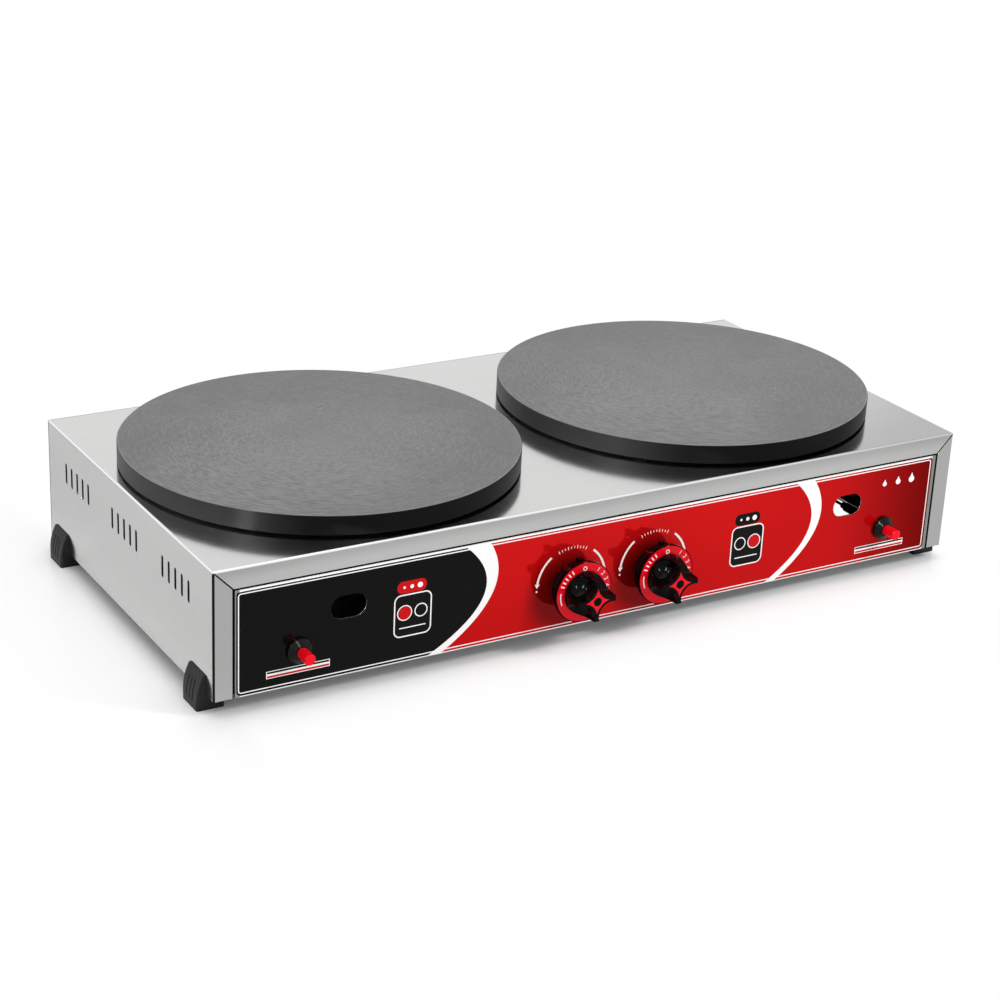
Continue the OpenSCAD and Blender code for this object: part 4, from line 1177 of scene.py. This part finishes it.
@dataclass
class ControlPrint:
    """Everything that is printed on the film of the control panel."""

    line: float = 1.1 * MM
    border_inset: float = 2.1 * MM
    border_shift: float = -0.4 * MM
    border_corner: float = 3.2 * MM
    arrow_r: float = 39.0 * MM
    arrow_line: float = 2.2 * MM
    arrow_head_r: float = 3.1 * MM
    arrow_from: float = 38.0
    arrow_to: float = 82.0
    arrow_head_at: float = 84.5
    arrow_dot_r: float = 1.1 * MM
    arrow_dot_y: float = -2.4 * MM
    scale_r: float = 37.6 * MM
    scale_span: float = 24.0
    scale_ticks: int = 10
    tick_w: float = 0.8 * MM
    tick_h: float = 2.2 * MM
    third_tick_h: float = 3.4 * MM
    bar_w: float = 64.5 * MM
    bar_h: float = 7.4 * MM
    bar_line: float = 0.7 * MM
    bar_x: Pair = (-340.7 * MM, 338.2 * MM)
    bar_z: Pair = (32.4 * MM, 31.0 * MM)
    badge_x: Pair = (-222.6 * MM, 162.6 * MM)
    badge_z: float = 64.0 * MM
    badge_w: float = 40.0 * MM
    badge_h: float = 44.0 * MM
    badge_corner: float = 7.0 * MM
    badge_line: float = 1.3 * MM
    base_inset: float = 6.0 * MM
    base_y: float = -12.5 * MM
    griddle_x: float = 8.7 * MM
    griddle_y: float = 3.0 * MM
    griddle_r: float = 7.0 * MM
    chosen_r: float = 8.0 * MM
    chosen_line: float = 1.0 * MM
    chosen_disc_r: float = 6.9 * MM
    pill_shift: float = -1.5 * MM
    pill_z: float = 93.2 * MM
    pill_w: float = 31.0 * MM
    pill_h: float = 12.6 * MM
    pill_round: float = 0.46
    pill_dot_x: tuple[float, float, float] = (-8.0 * MM, 0.0, 8.6 * MM)
    pill_dot_r: tuple[float, float, float] = (1.3 * MM, 2.0 * MM, 2.8 * MM)
    flame_x: float = 355.0 * MM
    flame_z: float = 101.5 * MM
    flame_step: float = 18.0 * MM
    flame_r: float = 2.6 * MM
    flame_r_step: float = 0.5 * MM
    flame_tip: float = 2.2 * MM
    flame_tip_step: float = 0.7 * MM
    flame_tip_from: float = 0.45
    flame_tip_w: float = 0.25

    def lay(
        self,
        name: str,
        parts: list[Piece],
        ink: Ink,
        x: float,
        z: float,
        mirrored: bool = False,
        layer: int = 0,
    ) -> None:
        """Joins flat parts and prints them on the film.

        Args:
            name: The print's name.
            parts: Its flat parts, drawn round the origin.
            ink: Its ink.
            x: Where the origin goes along the panel.
            z: Where the origin goes in height.
            mirrored: Whether left and right change places.
            layer: How many prints lie below it.
        """
        piece = Bench.thicken(Bench.join(name, parts), PRINT_T)
        y = FILM_LOW.y - PRINT_OUT - layer * LAYER_STEP
        Bench.stand_on_front(piece, Vector((x, y, z)), mirrored)
        Bench.done(piece, ink, "casing", "label")

    def border(self) -> None:
        """Prints the thin white line inside the film's edge."""
        width = FILM_HIGH.x - FILM_LOW.x - 2 * (self.border_inset + self.border_shift)
        height = FILM_HIGH.z - FILM_LOW.z - 2 * self.border_inset
        ring = Flat.hollow(Flat.plate("ring", width, height, self.border_corner), self.line)
        centre = middle(FILM_LOW, FILM_HIGH)
        self.lay("print_border", [ring], WHITE_INK, centre.x + self.border_shift, centre.z)

    def arrow(self) -> Piece:
        """A curved arrow on the right of a knob, with its head at the lower end.

        Returns:
            The piece.
        """
        band = Flat.arc("band", self.arrow_r, self.arrow_line, self.arrow_from, self.arrow_to)
        a = math.radians(self.arrow_head_at)
        x, y = self.arrow_r * math.sin(a), self.arrow_r * math.cos(a)
        head = Flat.at(Flat.disc("head", self.arrow_head_r, 3), x, y, 90 + self.arrow_to)
        return Bench.join("arrow", [band, head])

    def knob_scale(self, side: Side) -> None:
        """Prints the arrows, the dots below them and the scale round one knob.

        Args:
            side: The knob's side.
        """
        knob = middle(*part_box(f"knob_star_{side.value}"))
        name = f"print_{side.value}"
        for hand in (Side.RIGHT, Side.LEFT):
            dot = Flat.at(Flat.disc("dot", self.arrow_dot_r, 20), self.arrow_r, self.arrow_dot_y)
            parts = [self.arrow(), dot]
            self.lay(f"{name}_arrow_{hand.value}", parts, WHITE_INK, knob.x, knob.z, hand is Side.LEFT)
        ticks = []
        for i in range(self.scale_ticks):
            angle = self.scale_span * (2 * i / (self.scale_ticks - 1) - 1)
            height = self.third_tick_h if i % 3 == 0 else self.tick_h
            tick = Flat.plate("tick", self.tick_w, height)
            ticks.append(Flat.round_at(tick, self.scale_r, angle))
        self.lay(f"{name}_scale", ticks, WHITE_INK, knob.x, knob.z)

    def igniter_bar(self, side: Side) -> None:
        """Prints the striped bar under one igniter.

        Args:
            side: The igniter's side.
        """
        x, z = side.of(self.bar_x), side.of(self.bar_z)
        name = f"print_{side.value}_bar"
        inner_w = self.bar_w - 2 * self.bar_line
        stripe = (self.bar_h - 2 * self.bar_line) / 3
        rows = (("black", BLACK_INK), ("white", WHITE_INK), ("red", RED_INK))
        for row, (word, ink) in enumerate(rows):
            part = Flat.at(Flat.plate("stripe", inner_w, stripe), 0, (1 - row) * stripe)
            self.lay(f"{name}_{word}", [part], ink, x, z)
        frame_line = Flat.hollow(Flat.plate("frame", self.bar_w, self.bar_h), self.bar_line)
        self.lay(f"{name}_frame", [frame_line], WHITE_INK, x, z, layer=1)

    def badge(self, side: Side) -> None:
        """Prints the mark that says which griddle a side controls, and the flame pill above it.

        Args:
            side: The griddle's side.
        """
        x, z = side.of(self.badge_x), self.badge_z
        name = f"print_{side.value}_badge"
        size = (self.badge_w, self.badge_h, self.badge_corner)
        chosen_x = side.sign * self.griddle_x
        self.lay(f"{name}_ground", [Flat.plate("ground", *size)], BLACK_INK, x, z)
        outline = Flat.hollow(Flat.plate("outline", *size), self.badge_line)
        base = Flat.plate("line", self.badge_w - 2 * self.base_inset, self.line)
        other = Flat.hollow(Flat.disc("other", self.griddle_r), self.line)
        rim = Flat.hollow(Flat.disc("rim", self.chosen_r), self.chosen_line)
        parts = [
            outline,
            Flat.at(base, 0, self.base_y),
            Flat.at(other, -chosen_x, self.griddle_y),
            Flat.at(rim, chosen_x, self.griddle_y),
        ]
        self.lay(f"{name}_outline", parts, WHITE_INK, x, z, layer=1)
        disc = Flat.at(Flat.disc("disc", self.chosen_disc_r), chosen_x, self.griddle_y)
        self.lay(f"{name}_disc", [disc], RED_INK, x, z, layer=1)
        pill = Flat.plate("pill", self.pill_w, self.pill_h, self.pill_round * self.pill_h)
        pill_x = x + self.pill_shift
        self.lay(f"{name}_pill", [pill], side.of((RED_INK, BLACK_INK)), pill_x, self.pill_z)
        dots = [
            Flat.at(Flat.disc("dot", radius, 20), dot_x, 0)
            for radius, dot_x in zip(self.pill_dot_r, self.pill_dot_x)
        ]
        self.lay(f"{name}_pill_dots", dots, WHITE_INK, pill_x, self.pill_z, layer=1)

    def flames(self) -> None:
        """Prints three plain flames of rising height at the right end."""
        parts = []
        for i in range(3):
            flame = Flat.disc("flame", self.flame_r + i * self.flame_r_step, 24)
            level = self.flame_tip_from * flame.dimensions.y
            with Bench.editing(flame):
                Bench.choose(Element.VERT, lambda vert: vert.co.y > level)
                bpy.ops.transform.resize(value=(self.flame_tip_w, 1, 1))
                tip = self.flame_tip + i * self.flame_tip_step
                bpy.ops.transform.translate(value=(0, tip, 0))
            parts.append(Flat.at(flame, (i - 1) * self.flame_step, 0))
        self.lay("print_flames", parts, WHITE_INK, self.flame_x, self.flame_z)

    def build(self) -> None:
        """Makes every print."""
        self.border()
        for side in Side:
            self.knob_scale(side)
            self.igniter_bar(side)
            self.badge(side)
        self.flames()


@dataclass
class DialPrint:
    """The marks on one knob's red ring, which turn with the knob."""

    side: Side
    mark_r: float = 24.8 * MM
    mark_out: float = 2.3 * MM
    mark_line: float = 0.9 * MM
    digit_r: float = 26.3 * MM
    digit_size: float = 6.2 * MM
    digits: str = "1234"
    digit_from: float = 36.0
    digit_step: float = 16.0
    ticks: int = 5
    tick_from: float = -31.0
    tick_step: float = -9.5
    tick_w: float = 1.3 * MM
    tick_h: float = 4.2 * MM
    line_w: float = 1.2 * MM
    line_span: Pair = (-112.0, -84.0)
    dot_r: float = 0.9 * MM
    dot_at: float = 101.0

    def build(self) -> None:
        """Prints the off mark, the closing line, the numbers, the ticks and the dot."""
        knob = middle(*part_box(f"knob_star_{self.side.value}"))
        face_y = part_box(f"knob_ring_{self.side.value}")[0].y - PRINT_OUT
        off = Flat.hollow(Flat.disc("off", self.mark_out), self.mark_line)
        parts = [
            Flat.at(off, 0, self.mark_r),
            Flat.arc("line", self.digit_r, self.line_w, *self.line_span),
        ]
        for i, text in enumerate(self.digits):
            digit = Flat.digit("digit", text, self.digit_size)
            parts.append(Flat.round_at(digit, self.digit_r, self.digit_from + i * self.digit_step))
        for i in range(self.ticks):
            tick = Flat.plate("tick", self.tick_w, self.tick_h)
            parts.append(Flat.round_at(tick, self.digit_r, self.tick_from + i * self.tick_step))
        parts.append(Flat.round_at(Flat.disc("dot", self.dot_r, 20), self.digit_r, self.dot_at))
        piece = Bench.thicken(Bench.join(f"dial_print_{self.side.value}", parts), PRINT_T)
        Bench.stand_on_front(piece, Vector((knob.x, face_y, knob.z)))
        Bench.done(piece, WHITE_INK, f"knob_{self.side.value}", "knob_red")


@dataclass
class ScrewSet:
    """Pan-head screws with a cross recess, in the places of one group of plain CAD screws."""

    node: str
    length: float
    outward: Vector
    head_d: float = 8.0 * MM
    head_h: float = 2.2 * MM
    head_round: float = 1.364 * MM
    shank_d: float = 3.8 * MM
    tip_round: float = 0.5 * MM
    recess_w: float = 0.95 * MM
    recess_span: float = 4.6 * MM
    recess_depth: float = 1.3 * MM
    recess_taper: Pair = (0.45, 0.7)
    face_depth: float = 0.05 * MM
    spin_step: float = 37.0

    def first(self) -> Piece:
        """Models one screw that stands head up, with its head's underside at the origin.

        Returns:
            The screw.
        """
        bpy.ops.mesh.primitive_cylinder_add(
            vertices=32, radius=self.head_d / 2, depth=self.head_h, location=(0, 0, self.head_h / 2)
        )
        head = Bench.fix(Bench.new("head"))
        with Bench.editing(head):
            top = 0.99 * self.head_h
            Bench.choose(Element.EDGE, lambda edge: all(v.co.z > top for v in edge.verts))
            bpy.ops.mesh.bevel(offset=self.head_round, segments=5, affect="EDGES")
            Bench.choose(Element.FACE, lambda face: face.normal.z < -0.9)
            bpy.ops.mesh.inset(thickness=(self.head_d - self.shank_d) / 2)
            bpy.ops.mesh.extrude_region_move(TRANSFORM_OT_translate={"value": (0, 0, -self.length)})
            bpy.ops.mesh.bevel(offset=self.tip_round, segments=2, affect="EDGES")
        for turn in (0, 90):
            self.cut(head, turn)
        return head

    def cut(self, head: Piece, turn: float) -> None:
        """Cuts one arm of the recess.

        Args:
            head: The screw.
            turn: The arm's direction in degrees.
        """
        bpy.ops.mesh.primitive_cube_add(size=1, location=(0, 0, self.head_h))
        cutter = Bench.new("cutter")
        with Bench.editing(cutter):
            size = (self.recess_span, self.recess_w, 2 * self.recess_depth)
            bpy.ops.transform.resize(value=size)
            Bench.choose(Element.FACE, lambda face: face.normal.z < -0.9)
            bpy.ops.transform.resize(value=(*self.recess_taper, 1))
        cutter.rotation_euler = Euler((0, 0, math.radians(turn)))
        Bench.apply_modifier(head, "BOOLEAN", operation="DIFFERENCE", object=Bench.fix(cutter))
        bpy.data.objects.remove(cutter)

    def places(self) -> list[Vector]:
        """Finds the middles of the CAD group's heads.

        Returns:
            The middles of the heads' undersides.
        """
        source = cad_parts[self.node].data
        level = max(v.co.dot(self.outward) for v in source.vertices) - self.face_depth
        spots: list[list[Vector]] = []
        for vertex in source.vertices:
            if vertex.co.dot(self.outward) < level:
                continue
            for spot in spots:
                if (spot[0] - vertex.co).length < 1.2 * self.head_d:
                    spot.append(vertex.co.copy())
                    break
            else:
                spots.append([vertex.co.copy()])
        middles = []
        for spot in spots:
            low = Vector([min(p[i] for p in spot) for i in range(3)])
            high = Vector([max(p[i] for p in spot) for i in range(3)])
            middles.append(middle(low, high) - self.outward * self.head_h)
        return middles

    def build(self) -> None:
        """Copies the screw to every place and replaces the CAD group."""
        first = self.first()
        turn = Vector((0, 0, 1)).rotation_difference(self.outward)
        copies = []
        for i, place in enumerate(self.places()):
            Bench.pick(first)
            bpy.ops.object.duplicate(linked=False)
            copy = bpy.context.object
            copy.rotation_mode = "QUATERNION"
            spin = Matrix.Rotation(math.radians(self.spin_step * i), 4, "Z").to_quaternion()
            copy.rotation_quaternion = turn @ spin
            copy.location = place
            copies.append(Bench.fix(copy))
        bpy.data.objects.remove(first)
        piece = Bench.join(f"{self.node}_detailed", copies)
        Bench.settle(piece)
        Bench.done(piece, SLOT_FINISHES["zinc_steel"], "casing", "zinc_steel")
        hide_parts(self.node)


@dataclass
class ThreadedInlet:
    """The gas inlet's union with its thread, in the place of the plain CAD union."""

    thread_d: float = 20.96 * MM
    thread_l: float = 18.0 * MM
    thread_depth: float = 0.9 * MM
    pitch: float = 1.81 * MM
    flank: float = 0.42
    crest: float = 0.16
    neck_d: float = 19.96 * MM
    hexagon: float = 27.0 * MM
    hexagon_t: float = 8.0 * MM
    bore_d: float = 13.0 * MM
    bore_l: float = 18.0 * MM

    def build(self) -> None:
        """Joins the hexagon and the neck, and puts them in the union's place."""
        low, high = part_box("inlet_union")
        neck_l = high.y - low.y - self.hexagon_t - self.thread_l
        piece = Bench.join("inlet_union_threaded", [self.nut(), self.neck(neck_l)])
        piece.rotation_euler = Euler((-math.pi / 2, 0, 0))
        centre = middle(low, high)
        piece.location = (centre.x, low.y, centre.z)
        with Bench.editing(Bench.fix(piece)):
            bpy.ops.mesh.normals_make_consistent(inside=False)
        Bench.done(piece, SLOT_FINISHES["brass"], "casing", "brass", 25.0)
        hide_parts("inlet_union")

    def nut(self) -> Piece:
        """The hexagon, from the origin upwards.

        Returns:
            The piece.
        """
        corner_r = self.hexagon / 2 / math.cos(math.pi / 6)
        nut = Flat.disc("hexagon", corner_r, 6)
        with Bench.editing(nut):
            self.raise_by(self.hexagon_t)
        return nut

    def neck(self, neck_l: float) -> Piece:
        """The neck, the thread and the bore, from half the hexagon's height upwards.

        Args:
            neck_l: How far the plain neck stands out of the hexagon.

        Returns:
            The piece.
        """
        root_d = self.thread_d - 2 * self.thread_depth
        neck = Flat.disc("neck", self.neck_d / 2, 64)
        with Bench.editing(neck):
            bpy.ops.transform.translate(value=(0, 0, 0.5 * self.hexagon_t))
            self.raise_by(0.5 * self.hexagon_t + neck_l)
            self.scale_by(root_d / self.neck_d)
            turns = int(self.thread_l / self.pitch)
            step = self.thread_l / turns
            for _ in range(turns):
                self.raise_by(self.flank * step)
                self.scale_by(self.thread_d / root_d)
                self.raise_by(self.crest * step)
                self.raise_by(self.flank * step)
                self.scale_by(root_d / self.thread_d)
            bpy.ops.mesh.inset(thickness=(root_d - self.bore_d) / 2)
            self.raise_by(-self.bore_l)
        return neck

    @staticmethod
    def raise_by(height: float) -> None:
        """Extrudes what is selected along Z."""
        bpy.ops.mesh.extrude_region_move(TRANSFORM_OT_translate={"value": (0, 0, height)})

    @staticmethod
    def scale_by(factor: float) -> None:
        """Scales what is selected about the Z axis."""
        bpy.ops.transform.resize(value=(factor, factor, 1), center_override=(0, 0, 0))


def dress_frame() -> None:
    """Gives every CAD node the finish of its slot, and each griddle its own."""
    for name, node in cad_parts.items():
        slot = node.material_slots[0].material.name.split(".")[0]
        if slot == "griddle_iron":
            finish: Finish = GriddleIron(name, *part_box(name))
        else:
            finish = NODE_FINISHES.get(name, SLOT_FINISHES[slot])
        node.material_slots[0].material = finish.material()
        log.info("%s: %s", name, finish.name)


# ---- Studio ----------------------------------------------------------------------------


@dataclass
class Lamp:
    """A soft lamp that faces a point, and lights the pieces, shows in their gloss or does both."""

    name: str
    place: tuple[float, float, float]
    target: tuple[float, float, float]
    width: float
    height: float
    power: float
    lights: bool = True
    mirrored: bool = True

    def build(self) -> None:
        """Adds the lamp."""
        light = bpy.data.lights.new(self.name, "AREA")
        light.shape = "RECTANGLE"
        light.size, light.size_y, light.energy = self.width, self.height, self.power
        lamp = bpy.data.objects.new(self.name, light)
        bpy.context.scene.collection.objects.link(lamp)
        lamp.location = self.place
        lamp.visible_diffuse, lamp.visible_glossy = self.lights, self.mirrored
        way = Vector(self.target) - Vector(self.place)
        lamp.rotation_euler = way.to_track_quat("-Z", "Y").to_euler()


@dataclass
class Studio:
    """The pale floor, the soft lamps, the white surroundings and the camera."""

    camera_place: tuple[float, float, float] = (-1.16809, -1.89694, 0.99004)
    azimuth: float = 31.358
    elevation: float = 22.544
    roll: float = 2.718
    lens: float = 82.692
    sensor: float = 36.0
    clip: Pair = (0.05, 100.0)
    floor_size: float = 30.0
    floor_grey: float = 0.9
    floor_in_gloss: str = "#e5e5e5"
    ambient: float = 0.8
    shadow: float = 0.95
    shadow_reach: float = 0.022
    left_reach: float = 0.058
    right_reach: float = -0.014
    end_blur: Pair = (0.03, 0.01)
    window_x: Pair = (0.30, 0.36)
    window_y: float = -0.065
    window_half: Pair = (0.06, 0.075)
    lamps: tuple[Lamp, ...] = (
        Lamp("overhead", (-0.3, 0.5, 2.2), (0.0, 0.0, 0.1), 2.6, 1.8, 16.0),
        Lamp("key", (1.3, -1.6, 1.9), (0.0, -0.2, 0.06), 0.35, 0.7, 26.0, mirrored=False),
        Lamp("left_strip", (-2.3, -0.9, 1.3), (0.0, -0.2, 0.06), 0.08, 0.9, 60.0, lights=False),
        Lamp("front_strip", (-0.5, -2.6, 1.9), (0.0, -0.2, 0.06), 0.07, 0.7, 40.0, lights=False),
    )

    def seen_white(self, s: Shader) -> Wire:
        """A mask of the rays that see the white surroundings: camera, glossy and transmission."""
        rays = [s.wire("LightPath", output=f"Is {n} Ray") for n in ("Camera", "Glossy", "Transmission")]
        return rays[0].larger(rays[1]).larger(rays[2])

    def open_floor(self, s: Shader) -> Wire:
        """Where the floor is white: away from the casing, and under the right window, where painted
        light covers the casing's shade.

        Args:
            s: The floor's shader.

        Returns:
            A mask that leaves the shadow round the casing.
        """
        x, y, _ = s.axes(s.position())
        past_x = (x.size() - CASING_HALF_W).larger(0.0)
        past_y = ((y - CASING_MIDDLE_Y).size() - CASING_HALF_D).larger(0.0)
        blur_in, blur_out = self.end_blur
        left = (x * -1.0).rise(CASING_HALF_W - blur_in, CASING_HALF_W + blur_out)
        right = x.rise(CASING_HALF_W - blur_in, CASING_HALF_W)
        reach = left * self.left_reach + right * self.right_reach + self.shadow_reach
        fading = (length(past_x, past_y) * -1.0 / reach).maths("EXPONENT")
        away = 1.0 - fading * self.shadow
        # Painted light: under the right window the floor glows white where the casing shades it.
        under = x.rise(*self.window_x) * (y - self.window_y).size().fall(*self.window_half)
        return away.larger(under)

    def floor(self) -> None:
        """Adds a pale floor that goes white away from the object and keeps its shadow."""
        bpy.ops.mesh.primitive_plane_add(size=self.floor_size)
        piece = Bench.new("floor")
        material = bpy.data.materials.new("pale_floor")
        material.use_nodes = True
        s = Shader(material.node_tree)
        grey = (self.floor_grey, self.floor_grey, self.floor_grey, 1.0)
        lit = s.surface(Base_Color=grey, Roughness=0.22, Specular_IOR_Level=0.35)
        glossy = s.wire("LightPath", output="Is Glossy Ray")
        shown = s.blend(glossy, (1.0, 1.0, 1.0, 1.0), srgb(self.floor_in_gloss))
        white = s.wire("Emission", {"Color": shown, "Strength": 1.0})
        s.show(s.mix(self.open_floor(s) * self.seen_white(s), lit, white))
        piece.data.materials.append(material)

    def world(self) -> None:
        """Sets the white surroundings and their soft light."""
        world = bpy.data.worlds.new("surroundings")
        bpy.context.scene.world = world
        world.use_nodes = True
        s = Shader(world.node_tree)
        strength = self.ambient + self.seen_white(s) * (1.0 - self.ambient)
        back = s.wire("Background", {"Color": (1.0, 1.0, 1.0, 1.0), "Strength": strength})
        s.node("OutputWorld", {"Surface": back})

    def camera(self) -> None:
        """Adds the camera."""
        data = bpy.data.cameras.new("camera")
        data.lens, data.sensor_width = self.lens, self.sensor
        data.clip_start, data.clip_end = self.clip
        camera = bpy.data.objects.new("camera", data)
        bpy.context.scene.collection.objects.link(camera)
        heading = Matrix.Rotation(math.radians(-self.azimuth), 4, "Z")
        tilt = Matrix.Rotation(math.radians(90 - self.elevation), 4, "X")
        roll = Matrix.Rotation(math.radians(self.roll), 4, "Z")
        camera.matrix_world = Matrix.Translation(self.camera_place) @ heading @ tilt @ roll
        bpy.context.scene.camera = camera

    def build(self) -> None:
        """Adds everything that isn't part of the object."""
        self.camera()
        self.world()
        self.floor()
        for lamp in self.lamps:
            lamp.build()
        bpy.context.scene.view_settings.view_transform = "Standard"
        log.info("studio: %d lamps", len(self.lamps))


def main() -> None:
    """Builds the studio, dresses the frame and adds every new piece."""
    logging.basicConfig(level=logging.INFO, format="%(message)s")
    Studio().build()
    dress_frame()
    ControlPrint().build()
    for side in Side:
        DialPrint(side).build()
    ScrewSet("back_screws", 7.0 * MM, Vector((0, 1, 0))).build()
    ScrewSet("base_screws", 7.0 * MM, Vector((0, 0, -1))).build()
    ScrewSet("foot_screws", 14.0 * MM, Vector((0, 0, -1))).build()
    ThreadedInlet().build()


if __name__ == "__main__":
    main()
